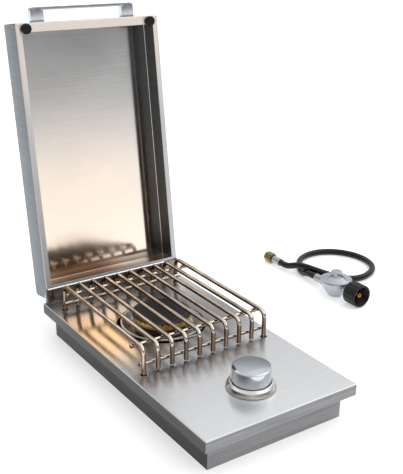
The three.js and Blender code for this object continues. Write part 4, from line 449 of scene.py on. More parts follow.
def make_finishes(colours):
    """Every finish of the object, by the name that the pieces ask for."""
    # Patches of painted light: the glow of the flame, which is not built, and the shade and reflection of the
    # grate, as colour, middle, inner and outer reach, depth
    # The deck: painted grey-brown shade and reflection under the grate round the burner, and painted amber
    # glow of the flame on its left
    deck_painted_light = (("#847a72", (45, BURNER_Y - 10, DECK_TOP), 90, 200, 0.62),
                  ("#efcb98", (-110, BURNER_Y + 10, DECK_TOP), 50, 190, 0.85))
    # The lid: painted cream glow of the flame on its inside, and a painted brown reflection of the grate low
    # down
    lid_painted_light = (("#f7e3ce", (-40, 300, 190), 130, 350, 0.7),
                 ("#a9805f", (-50, 285, 92), 70, 150, 0.7))
    # The flange: painted pale glow of the flame
    flange_painted_light = (("#e8dfd8", (-20, 300, 615), 170, 330, 1),)
    # The pan: painted amber glow of the flame round the burner
    pan_painted_glow = (("#efcb98", (0, BURNER_Y, DECK_TOP), 40, 150, 0.4),)
    return {
        # In each steel, the pair after the roughness is painted shade on its faces bent down across and along
        # the brush lines
        "deck steel": brushed_steel("brushed_stainless_deck", colours.steel, 0.24, (0.55, 0.2),
                                    painted_light=deck_painted_light, polish=0.13),
        "lid steel": brushed_steel("brushed_stainless_lid", "#e6e5e4", 0.15, (0.7, 0.08), 0.12, 0.5, "Y",
                                   lid_painted_light, 0.07),
        "flange steel": brushed_steel("brushed_stainless_flange", "#cfcfd0", 0.4, (0.8, 0.5), 0.1, 0.9,
                                      "Y", flange_painted_light),
        # The lid's outside has a blue-grey colour that is a painted reflection
        "outer steel": brushed_steel("brushed_stainless_outside", "#b9c3cc", 0.22, (0.62, 0.42), 0.1,
                                     0.7, "Y"),
        # The hinge bracket's dark colour is painted shade, where it stands behind the grate
        "hinge steel": brushed_steel("brushed_stainless_hinge", "#8f8983", 0.2, (0.9, 0.5), 0.1, 0.5, "Y"),
        "housing steel": brushed_steel("brushed_stainless_housing", colours.steel, 0.3, (0.54, 0.14)),
        "pan steel": brushed_steel("pressed_stainless_pan", "#cfcfd1", 0.2, (0.9, 0.9), 0, 0,
                                   painted_light=pan_painted_glow),
        "chrome": bright_plating("chrome_plated_handle", colours.chrome, 0.2),
        "knob chrome": bright_plating("satin_chrome_knob", colours.chrome, 0.12, (0, KNOB_Y), 0.6),
        "bezel chrome": bright_plating("polished_bezel", "#e2e1dc", 0.2, (0, KNOB_Y)),
        "grate steel": tinted_rod_with_painted_light("heat_tinted_rod_painted_light", colours.tinted, 0.14),
        "zinc": zinc_plate("zinc_plated_steel", "#b9bdc4", 0.34),
        "cast iron": casting("sand_cast_iron", "#4a4a4c", 0.5, 1.2),
        "cast zinc": casting("die_cast_zinc", "#c3c8ce", 0.38, 0.9, relief=0.18),
        "brass": turned_brass("turned_brass", colours.brass, 0.29),
        "old brass": turned_brass("handled_brass", "#a79a5c", 0.3),
        "rubber": soft_black("extruded_rubber", colours.rubber, 0.2, 0.7, 0.3),
        "bumper rubber": soft_black("moulded_rubber", "#100f0e", 0.5, 0.6, 0.25),
        "nylon": soft_black("moulded_nylon", "#131417", 0.33, 0.5, 0.3),
        "ceramic": glazed_ceramic("glazed_alumina"),
    }


FINISHES = {}


def eased(points, radius, closed=False, steps=4):
    """Rounds the corners of a line of 2-D points. A point's third number is its own radius."""
    line = []
    count = len(points)
    for index, point in enumerate(points):
        corner = Vector(point[:2])
        own = point[2] if len(point) > 2 else radius
        if own <= 0 or (not closed and index in (0, count - 1)):
            line.append(corner)
            continue
        back = Vector(points[index - 1][:2]) - corner
        ahead = Vector(points[(index + 1) % count][:2]) - corner
        turn = back.angle(ahead)
        if turn > NEARLY_STRAIGHT:
            line.append(corner)
            continue
        reach = min(own / math.tan(turn / 2), 0.48 * back.length, 0.48 * ahead.length)
        round_off = reach * math.tan(turn / 2)
        back.normalize()
        ahead.normalize()
        centre = corner + (back + ahead).normalized() * (round_off / math.sin(turn / 2))
        start = corner + back * reach - centre
        way = 1 if back.x * ahead.y - back.y * ahead.x < 0 else -1
        for step in range(steps + 1):
            line.append(centre + Matrix.Rotation(way * (math.pi - turn) * step / steps, 2) @ start)
    return line


def quarter_turn(steps):
    """The angles of the steps through a quarter bend, without its start."""
    return [math.radians(90 * step / steps) for step in range(1, steps + 1)]


def bend_up(fold, radius, floor, steps=5):
    """Steps of (inset, height) through a bend from the floor up into a wall."""
    return [(fold - radius * math.sin(angle), floor + fold - radius * math.cos(angle))
            for angle in quarter_turn(steps)]


def bend_in(fold, radius, top):
    """Steps of (inset, height) through a bend from a wall in to the top."""
    return [(fold - radius * math.cos(angle), top - fold + radius * math.sin(angle))
            for angle in quarter_turn(5)]


def repeated(points, start, pitch, count):
    """Repeats points of a profile up its axis, for threads and crimped waists."""
    return [(radius, start + index * pitch + height, *own)
            for index in range(count) for radius, height, *own in points]


def circle_points(x, y, radius, sides=SMALL_SIDES):
    """Points of a circle."""
    turns = [2 * math.pi * side / sides for side in range(sides)]
    return [(x + radius * math.cos(a), y + radius * math.sin(a)) for a in turns]


def ring(work, points):
    """Adds one closed ring of 3-D points."""
    return [work.verts.new(point) for point in points]


def bridge(work, first, second):
    """Joins two rings of as many points by quads."""
    count = len(first)
    for index in range(count):
        after = (index + 1) % count
        work.faces.new((first[index], first[after], second[after], second[index]))


def skin(work, rings):
    """Joins each ring to the next, and gives the rings back."""
    for first, second in zip(rings, rings[1:]):
        bridge(work, first, second)
    return rings


def fill(work, *rings):
    """Fills the flat area between the first ring and the holes that the other rings make in it."""
    edges = []
    for loop in rings:
        for index, vertex in enumerate(loop):
            pair = (vertex, loop[(index + 1) % len(loop)])
            edges.append(work.edges.get(pair) or work.edges.new(pair))
    bmesh.ops.triangle_fill(work, use_beauty=True, edges=edges)


def rounded_ring(work, left, right, front, back, radius, height):
    """Adds a ring along a rectangle with rounded corners."""
    points, steps = [], 5
    radius = max(radius, 0.05)
    corners = [(right, front, -90), (right, back, 0), (left, back, 90), (left, front, 180)]
    for x, y, start in corners:
        centre_x = x - math.copysign(radius, x - (left + right) / 2)
        centre_y = y - math.copysign(radius, y - (front + back) / 2)
        for step in range(steps + 1):
            angle = math.radians(start + 90 * step / steps)
            points.append((centre_x + radius * math.cos(angle), centre_y + radius * math.sin(angle), height))
    return ring(work, points)


def pressed_hole(work, x, y, profile, sides=TURNED_SIDES):
    """Adds the wall of a hole along a profile, and gives its first and last ring."""
    rings = skin(work, [ring(work, [(*point, height) for point in circle_points(x, y, radius, sides)])
                        for radius, height in profile])
    return rings[0], rings[-1]


def turned(work, profile, place=Matrix(), sides=TURNED_SIDES, closed=False):
    """Turns a profile about Z. An open profile starts and ends on the axis."""
    rings = []
    for radius, height in profile:
        points = circle_points(0, 0, radius, sides) if radius >= 0.0001 else [(0, 0)]
        rings.append(ring(work, [place @ Vector((*point, height)) for point in points]))
    pairs = list(zip(rings, rings[1:]))
    if closed:
        pairs.append((rings[-1], rings[0]))
    for first, second in pairs:
        if len(first) == len(second) == 1:
            continue
        if len(first) == 1 or len(second) == 1:
            pole, loop = (first[0], second) if len(first) == 1 else (second[0], first)
            for index in range(sides):
                work.faces.new((pole, loop[index], loop[(index + 1) % sides]))
            continue
        bridge(work, first, second)


def lathed(profile, radius, place=Matrix(), sides=TURNED_SIDES, closed=False, steps=4, work=None):
    """Turns a profile with its corners rounded, into a new work unless one is given."""
    if work is None:
        work = bmesh.new()
    turned(work, eased(profile, radius, closed, steps), place, sides, closed)
    return work


def drilled(work, radius, low, high, *places, sides=PIN_SIDES):
    """The work with a round hole at each place, from low to high along its Z."""
    tool = bmesh.new()
    for place in places:
        turned(tool, [(0, low), (radius, low), (radius, high), (0, high)], place, sides)
    return carved(work, tool)


def prism(work, outline, depth, place=Matrix(), holes=()):
    """Extrudes a 2-D outline with holes by depth along its own Z, and puts it in place."""
    ends = []
    for height in (0, depth):
        loops = []
        for points in (outline, *holes):
            loops.append(ring(work, [place @ Vector((*point[:2], height)) for point in points]))
        fill(work, *loops)
        ends.append(loops)
    for first, second in zip(*ends):
        bridge(work, first, second)


def along_x(x):
    """Stands a prism's outline, drawn as (y, z), in the plane at x."""
    return Matrix(((0, 0, 1, x), (1, 0, 0, 0), (0, 1, 0, 0), (0, 0, 0, 1)))


def along_y(y):
    """Stands a prism's outline, drawn as (x, z), in the plane at y."""
    return Matrix(((1, 0, 0, 0), (0, 0, 1, y), (0, 1, 0, 0), (0, 0, 0, 1)))


def absorb(work, other):
    """Adds another work to this one."""
    mesh = bpy.data.meshes.new("part")
    other.to_mesh(mesh)
    other.free()
    work.from_mesh(mesh)
    bpy.data.meshes.remove(mesh)


def cross_recess(arm, half, place, height, turn):
    """A cross-shaped cutter for a screw's drive, its floor at the given height of the screw."""
    quarter = [(arm, -half), (arm, half), (half, half)]
    outline = []
    for _ in range(4):
        outline += quarter
        quarter = [(-y, x) for x, y in quarter]
    cutter = bmesh.new()
    prism(cutter, outline, 2, place @ placed(0, 0, height, turn, "Z"))
    return cutter


def sharp_edges(work, angle):
    """The edges between two faces that meet at more than an angle in degrees."""
    return [edge for edge in work.edges
            if len(edge.link_faces) == 2 and edge.calc_face_angle(0) > math.radians(angle)]


def round_edges(work, edges, width):
    """Rounds the edges with three faces."""
    bmesh.ops.bevel(work, geom=edges, offset=width, offset_type="OFFSET", segments=3, profile=0.5,
                    affect="EDGES", clamp_overlap=True)


def mesh_object(name, work):
    """A bare object with the mesh of the work, in metres, that no finish or body is given to yet."""
    bmesh.ops.recalc_face_normals(work, faces=work.faces)
    bmesh.ops.scale(work, vec=(MM, MM, MM), verts=work.verts)
    mesh = bpy.data.meshes.new(name)
    work.to_mesh(mesh)
    work.free()
    return linked(name, mesh)


def linked(name, data):
    """A new object of the scene."""
    thing = bpy.data.objects.new(name, data)
    bpy.context.scene.collection.objects.link(thing)
    return thing


def baked(thing):
    """The thing's mesh with its modifiers worked in. The thing itself is removed."""
    bpy.context.view_layer.update()
    evaluated = thing.evaluated_get(bpy.context.evaluated_depsgraph_get())
    mesh = bpy.data.meshes.new_from_object(evaluated)
    bpy.data.objects.remove(thing)
    return mesh


def carved(first, second, operation="DIFFERENCE"):
    """One work cut or trimmed by another."""
    body, tool = mesh_object("body", first), mesh_object("tool", second)
    change = body.modifiers.new("change", "BOOLEAN")
    change.object = tool
    change.operation = operation
    change.solver = "EXACT"
    mesh = baked(body)
    bpy.data.objects.remove(tool)
    return work_of(mesh)


def work_of(mesh):
    """A work, in millimetres, from a mesh in metres, which is removed."""
    work = bmesh.new()
    work.from_mesh(mesh)
    bpy.data.meshes.remove(mesh)
    bmesh.ops.scale(work, vec=(1 / MM, 1 / MM, 1 / MM), verts=work.verts)
    return work


def finished(name, mesh, finish, *nodes, body="burner_unit", slot=None, sharp=35):
    """Makes a mesh in metres the finished piece: shading, finish, body and the nodes that it stands for.

    finish is one name, or a tuple of names by the faces' material index.
    slot is not used.
    """
    names = finish if isinstance(finish, tuple) else (finish,)
    numbers = [face.material_index if len(names) > 1 else 0 for face in mesh.polygons]
    mesh.materials.clear()
    for each in names:
        mesh.materials.append(FINISHES[each])
    mesh.polygons.foreach_set("material_index", numbers)
    mesh.shade_smooth()
    mesh.set_sharp_from_angle(angle=math.radians(sharp))
    piece = linked(name, mesh)
    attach(piece, body)
    if nodes:
        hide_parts(*nodes)
    return piece


def finished_work(name, work, *facts, **more):
    """The same for a work in millimetres."""
    thing = mesh_object(name, work)
    mesh = thing.data
    bpy.data.objects.remove(thing)
    return finished(name, mesh, *facts, **more)


LENGTH = "NodeSocketFloat"
COUNT = "NodeSocketInt"
PLACE = "NodeSocketVector"
FINISH = "NodeSocketMaterial"


def node_tree(name, inputs):
    """A geometry node tree with a geometry in and out, and named inputs of (name, kind, default)."""
    tree = bpy.data.node_groups.new(name, "GeometryNodeTree")
    tree.interface.new_socket("Geometry", in_out="INPUT", socket_type="NodeSocketGeometry")
    for label, kind, default in inputs:
        socket = tree.interface.new_socket(label, in_out="INPUT", socket_type=kind)
        if default is not None:
            socket.default_value = default
    tree.interface.new_socket("Geometry", in_out="OUTPUT", socket_type="NodeSocketGeometry")
    return tree, put(tree, "NodeGroupInput").outputs


def offset(tree, axis, value):
    """A vector along one axis."""
    return put(tree, "ShaderNodeCombineXYZ", inputs={axis: value}).outputs[0]


def rounded_curve(tree, curve, count, radius):
    """A curve with its corners rounded by so many points."""
    return put(tree, "GeometryNodeFilletCurve", {"mode": "POLY"}, {
        "Curve": curve, "Count": count, "Radius": radius}).outputs[0]


def swept(tree, curve, section):
    """A closed bar with a section, along a curve."""
    return put(tree, "GeometryNodeCurveToMesh", inputs={
        "Curve": curve, "Profile Curve": section, "Fill Caps": True}).outputs[0]


def row_length(tree, count, pitch):
    """Length of a row of things that are a pitch apart."""
    return maths(tree, "MULTIPLY", maths(tree, "SUBTRACT", count, 1), pitch)


def copies(tree, points, thing, **more):
    """A copy of a thing at each of the points."""
    return put(tree, "GeometryNodeInstanceOnPoints", inputs={
        "Points": points, "Instance": thing, **more}).outputs[0]


def end_tree(tree, geometry, material):
    """Ends a tree in real geometry with its finish."""
    real = put(tree, "GeometryNodeRealizeInstances", inputs={"Geometry": geometry})
    coated = put(tree, "GeometryNodeSetMaterial", inputs={
        "Geometry": real.outputs[0], "Material": material})
    put(tree, "NodeGroupOutput", inputs={"Geometry": coated.outputs[0]})


def end_cut_tree(tree, given, tools):
    """Ends a tree in what was given to it less the tools."""
    real = put(tree, "GeometryNodeRealizeInstances", inputs={"Geometry": tools})
    cut = put(tree, "GeometryNodeMeshBoolean", {"operation": "DIFFERENCE", "solver": "EXACT"}, {
        "Mesh 1": given["Geometry"], "Mesh 2": real.outputs[0]})
    end_tree(tree, cut.outputs[0], given["Finish"])


def grown(thing, tree, values):
    """Runs a tree on a thing with its inputs by name, and gives the plain mesh. The thing is removed."""
    change = thing.modifiers.new("grow", "NODES")
    change.node_group = tree
    for socket in tree.interface.items_tree:
        if socket.item_type == "SOCKET" and socket.in_out == "INPUT" and socket.name in values:
            change[socket.identifier] = values[socket.name]
    thing.update_tag()
    mesh = baked(thing)
    bpy.data.node_groups.remove(tree)
    return mesh


def swept_rod_tree():
    """Rods bent along a line: corners rounded, swept round, and repeated side by side."""
    tree, given = node_tree("bent_rods", [
        ("Rod radius", LENGTH, 0.004), ("Bend", LENGTH, 0.013), ("Count", COUNT, 1),
        ("Pitch", LENGTH, 0.03), ("Finish", FINISH, None)])
    bent = rounded_curve(tree, given["Geometry"], 9, given["Bend"])
    section = put(tree, "GeometryNodeCurvePrimitiveCircle", inputs={
        "Resolution": 24, "Radius": given["Rod radius"]}).outputs[0]
    half = maths(tree, "MULTIPLY", row_length(tree, given["Count"], given["Pitch"]), -0.5)
    row = put(tree, "GeometryNodeMeshLine", inputs={
        "Count": given["Count"], "Start Location": offset(tree, "X", half),
        "Offset": offset(tree, "X", given["Pitch"])}).outputs[0]
    end_tree(tree, copies(tree, row, swept(tree, bent, section)), given["Finish"])
    return tree


def bead_tree():
    """A small weld bead at every point of the mesh, each turned its own way."""
    tree, given = node_tree("weld_beads", [
        ("Bead", PLACE, (0.003, 0.003, 0.002)), ("Finish", FINISH, None)])
    ball = put(tree, "GeometryNodeMeshUVSphere", inputs={"Segments": 10, "Rings": 6, "Radius": 1})
    turn = put(tree, "FunctionNodeRandomValue", {"data_type": "FLOAT"}, {2: 0, 3: math.pi, "Seed": 7})
    beads = copies(tree, given["Geometry"], ball.outputs[0],
                   Rotation=offset(tree, "Z", turn.outputs[1]), Scale=given["Bead"])
    end_tree(tree, beads, given["Finish"])
    return tree


def ring_cut_tree(tool_kind):
    """Cuts a ring of like notches, boxes or bars, out of a turned piece that stands on Z."""
    tree, given = node_tree("ring_of_cuts", [
        ("Count", COUNT, 12), ("Ring radius", LENGTH, 0.05), ("Height", LENGTH, 0),
        ("Cut", PLACE, (0.01, 0.002, 0.01)), ("Finish", FINISH, None)])
    circle = put(tree, "GeometryNodeMeshCircle", inputs={
        "Vertices": given["Count"], "Radius": given["Ring radius"]})
    raised = put(tree, "GeometryNodeSetPosition", inputs={
        "Geometry": circle.outputs[0], "Offset": offset(tree, "Z", given["Height"])})
    if tool_kind == "box":
        tool = put(tree, "GeometryNodeMeshCube", inputs={"Size": (1, 1, 1)})
    else:
        tool = put(tree, "GeometryNodeMeshCylinder", inputs={"Vertices": 24, "Radius": 1, "Depth": 1})
    share = maths(tree, "DIVIDE", put(tree, "GeometryNodeInputIndex").outputs[0], given["Count"])
    facing = offset(tree, "Z", maths(tree, "MULTIPLY", share, 2 * math.pi))
    end_cut_tree(tree, given, copies(
        tree, raised.outputs[0], tool.outputs[0], Rotation=facing, Scale=given["Cut"]))
    return tree


def vent_tree():
    """Cuts rows of round-ended slots through a floor."""
    tree, given = node_tree("vent_slots", [
        ("Slot length", LENGTH, 0.05), ("Slot width", LENGTH, 0.006), ("Rows", COUNT, 6),
        ("Row pitch", LENGTH, 0.018), ("Apart", LENGTH, 0.2), ("Middle", PLACE, (0, 0, 0)),
        ("Finish", FINISH, None)])
    edge = put(tree, "GeometryNodeCurvePrimitiveQuadrilateral", inputs={
        "Width": given["Slot length"], "Height": given["Slot width"]})
    outline = rounded_curve(tree, edge.outputs[0], 7, maths(tree, "MULTIPLY", given["Slot width"], 0.499))
    line = put(tree, "GeometryNodeCurvePrimitiveLine", inputs={
        "Start": (0, 0, -0.005), "End": (0, 0, 0.005)})
    grid = put(tree, "GeometryNodeMeshGrid", inputs={
        "Size X": given["Apart"], "Size Y": row_length(tree, given["Rows"], given["Row pitch"]),
        "Vertices X": 2, "Vertices Y": given["Rows"]})
    moved = put(tree, "GeometryNodeSetPosition", inputs={
        "Geometry": grid.outputs[0], "Offset": given["Middle"]})
    slot = swept(tree, line.outputs[0], outline)
    end_cut_tree(tree, given, copies(tree, moved.outputs[0], slot))
    return tree


def line_object(name, lines):
    """A curve object with one straight-segment spline for each line of points in millimetres."""
    curve = bpy.data.curves.new(name, "CURVE")
    curve.dimensions = "3D"
    for points in lines:
        spline = curve.splines.new("POLY")
        spline.points.add(len(points) - 1)
        for point, place in zip(spline.points, points):
            point.co = (*(MM * v for v in place), 1)
    return linked(name, curve)


def wire(points, radius, sides=16):
    """A round wire along a line of points, with closed ends."""
    work = bmesh.new()
    places = [Vector(point) for point in points]
    rings = []
    side = None
    for index, place in enumerate(places):
        before, after = places[max(index - 1, 0)], places[min(index + 1, len(places) - 1)]
        along = (after - before).normalized()
        if side is None:
            side = along.orthogonal().normalized()
        side = (side - along * side.dot(along)).normalized()
        up = along.cross(side)
        turns = [2 * math.pi * step / sides for step in range(sides)]
        rings.append(ring(work, [place + radius * (side * math.cos(a) + up * math.sin(a)) for a in turns]))
    skin(work, rings)
    work.faces.new(rings[0])
    work.faces.new(rings[-1])
    return work


def hex_nut(work, radius, length, bore, place):
    """Adds a chamfered and bored hexagon nut along its own Z. The radius is that of its corners."""
    flat = radius * math.cos(math.pi / 6) * 0.98
    body = bmesh.new()
    prism(body, circle_points(0, 0, radius, 6), length, holes=[circle_points(0, 0, bore, PIN_SIDES)])
    trim = bmesh.new()
    slope = (radius - flat) * math.tan(math.radians(30))
    clear = radius + 0.05
    turned(trim, [(0, 0), (flat, 0), (clear, slope), (clear, length - slope), (flat, length), (0, length)])
    nut = carved(body, trim, "INTERSECT")
    bmesh.ops.transform(nut, matrix=place, verts=nut.verts)
    absorb(work, nut)


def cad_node(name):
    """The frame's own object of a node."""
    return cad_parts[name]


class SIDEBURNER_OT_stage(bpy.types.Operator):
    """Make the camera, the floor, the lamps and the world"""

    bl_idname = "sideburner.stage"
    bl_label = "Stage"

    def execute(self, context):
        scene = context.scene
        scene.view_settings.view_transform = "Standard"
        view = bpy.data.cameras.new("camera")
        view.sensor_width = 36
        view.sensor_fit = "HORIZONTAL"
        view.lens = CAMERA_LENS
        view.clip_end = 100
        camera = linked("camera", view)
        axes = Matrix((CAMERA_RIGHT, CAMERA_UP, CAMERA_RIGHT.cross(CAMERA_UP)))
        camera.matrix_world = Matrix.Translation(CAMERA_PLACE) @ axes.transposed().to_4x4()
        scene.camera = camera

        ground = bmesh.new()
        corners = ((-1, -1, 0), (1, -1, 0), (1, 1, 0), (-1, 1, 0))
        fill(ground, ring(ground, [FLOOR_REACH * Vector(corner) for corner in corners]))
        floor = mesh_object("floor", ground)
        floor.data.materials.append(self.floor_finish())

        # A very wide soft light from the right and behind, alike over the whole floor
        self.light("window", "SUN", (0, 0, 0), (-0.6, 0.1, -0.8),
                   {"energy": 0.6, "angle": math.radians(90)})
        # A square soft box that looks at the object from above
        place, target = Vector((0.35, -0.25, 1.9)), Vector((0, 0.05, 0.15))
        self.light("overhead", "AREA", place, target - place,
                   {"shape": "SQUARE", "size": 3.2, "energy": 9})
        scene.world = self.surround()
        return {"FINISHED"}

    def floor_finish(self):
        """Matt studio floor, painted pale: near white, and it keeps the object's soft shadow."""
        material, tree, shader = blank_material("studio_floor", {
            "Base Color": linear("#f4f4f4"), "Roughness": 0.9, "Specular IOR Level": 0})
        path = put(tree, "ShaderNodeLightPath").outputs
        seen = maths(tree, "MAXIMUM", path["Is Camera Ray"], path["Is Glossy Ray"])
        through = maths(tree, "MAXIMUM", seen, path["Is Transmission Ray"])
        glow = put(tree, "ShaderNodeEmission", inputs={"Color": (1, 1, 1, 1), "Strength": 0.42})
        both = put(tree, "ShaderNodeAddShader", inputs={0: shader.outputs[0], 1: glow.outputs[0]})
        mixed = put(tree, "ShaderNodeMixShader", inputs={
            0: through, 1: shader.outputs[0], 2: both.outputs[0]})
        output = next(n for n in tree.nodes if n.type == "OUTPUT_MATERIAL")
        tree.links.new(mixed.outputs[0], output.inputs["Surface"])
        return material

    def light(self, name, kind, place, aim, settings):
        """A light at a place, that shines along its aim."""
        data = bpy.data.lights.new(name, kind)
        for key, value in settings.items():
            setattr(data, key, value)
        turn = Vector(aim).to_track_quat("-Z", "Y").to_matrix().to_4x4()
        linked(name, data).matrix_world = Matrix.Translation(place) @ turn

    def surround(self):
        """A studio room: a bright ceiling over dim walls, the darkest on the left."""
        world = bpy.data.worlds.new("studio")
        world.use_nodes = True
        tree = world.node_tree
        tree.nodes.clear()
        way = coordinates(tree, "Generated")
        height = upwards(tree, way)
        below = ranged(tree, height, (0.38, 0.62), (1, 0), smooth=True)
        # The pale floor seems to curve up a little into the dim room
        above = ranged(tree, height, (-0.03, 0.15), (0, 1), smooth=True)
        low = maths(tree, "MULTIPLY", below, above)
        shade = None
        # Each dim wall: its direction, where it starts and is full, and how dark it is
        walls = (((-1, 0, 0), 0.2, 0.85, 0.95), ((0.45, -0.9, 0), 0.1, 0.8, 0.8),
                 ((0.6, 0.8, 0), 0, 0.6, 0.55))
        for direction, start, full, depth in walls:
            toward = put(tree, "ShaderNodeVectorMath", {"operation": "DOT_PRODUCT"}, {0: way, 1: direction})
            side = ranged(tree, toward.outputs["Value"], (start, full), (0, depth), smooth=True)
            left = maths(tree, "SUBTRACT", 1, maths(tree, "MULTIPLY", side, low))
            shade = maths(tree, "MULTIPLY", shade, left) if shade else left
        # The middle of the ceiling is dimmer, so that level steel seen from above isn't burnt out
        ceiling = ranged(tree, height, (0.62, 0.92), (1.16, 0.5), smooth=True)
        level = maths(tree, "MULTIPLY", shade, ceiling)
        # The camera itself sees plain white above the floor
        seen = put(tree, "ShaderNodeLightPath").outputs["Is Camera Ray"]
        shown = put(tree, "ShaderNodeMix", inputs={0: seen, 2: level, 3: 1})
        room = put(tree, "ShaderNodeBackground", inputs={
            "Color": linear("#ffffff"), "Strength": shown.outputs[0]})
        put(tree, "ShaderNodeOutputWorld", inputs={"Surface": room.outputs[0]})
        return world


class SIDEBURNER_OT_hose(bpy.types.Operator):
    """Make the gas hose with its crimped sleeves and flare nut"""

    bl_idname = "sideburner.hose"
    bl_label = "Hose"

    def execute(self, context):
        sizes = context.scene.side_burner_sizes
        curve = bpy.data.curves.new("gas_hose_run", "CURVE")
        curve.dimensions = "3D"
        curve.bevel_depth = sizes.hose_diameter / 2
        curve.bevel_resolution = 6
        curve.resolution_u = 8
        curve.use_fill_caps = True
        spline = curve.splines.new("BEZIER")
        spline.bezier_points.add(len(HOSE_ROUTE) - 1)
        for point, place in zip(spline.bezier_points, HOSE_ROUTE):
            point.co = [MM * v for v in place]
            point.handle_left_type = point.handle_right_type = "AUTO"
        curve.materials.append(FINISHES["rubber"])
        hose = linked("gas_hose_run", curve)
        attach(hose, "burner_unit")
        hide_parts("gas_hose")

        sleeves = [
            self.sleeve("hose_sleeve_near", "hose_sleeve_regulator_end", -1),
            self.sleeve("hose_sleeve_far", "hose_sleeve_burner_end", 1)]
        nut = self.flare_nut()
        return {"FINISHED"}

    def sleeve(self, name, node, way):
        """Crimped ferrule: a plain collar and four pressed waists, its open mouth towards the hose."""
        low, high, length = span(node, 1)
        waists = repeated([(8.1, 0.7, 0.4), (8.1, 2.4, 0.4), (8.7, 3.3, 0.5)], 4.5, 4.2, 4)
        outline = [(6.6, 0), (8.8, 0, 0.5), (8.8, 4.5, 0.4), *waists, (8.8, length, 0.6),
                   (7.9, length, 0.3), (7.6, length - 1.5), (6.6, length - 1.5)]
        place = placed(middle(node, 0), low if way < 0 else high, middle(node, 2), 90 * way)
        return finished_work(name, lathed(outline, 0.2, place, FITTING_SIDES, True, 3), "zinc", node,
                             sharp=40)

    def flare_nut(self):
        """Swivel nut of the flare fitting, with its hexagon, chamfers and threaded mouth."""
        low, _, length = span("flare_nut", 1)
        place = placed(middle("flare_nut", 0), low, middle("flare_nut", 2), -90)
        work = bmesh.new()
        hex_nut(work, 12.7, length, 8.6, place)
        pitch = 1.2
        thread = repeated([(8.5, 0), (8.0, 0.45), (8.5, 0.9)], 7, pitch, int((length - 8) / pitch))
        turned(work, [(8.9, 6.5), *thread, (8.9, length - 0.6), (9.0, length - 0.7)], place,
               FITTING_SIDES, closed=True)
        # Back wall that bears on the tail's collar
        lathed([(6.8, 0.05), (9.2, 0.05), (9.2, 5.9), (6.8, 5.9)], 0.3, place, FITTING_SIDES, True,
               work=work)
        return finished_work("swivel_flare_nut", work, "old brass", "flare_nut", body="flare_nut", sharp=25)


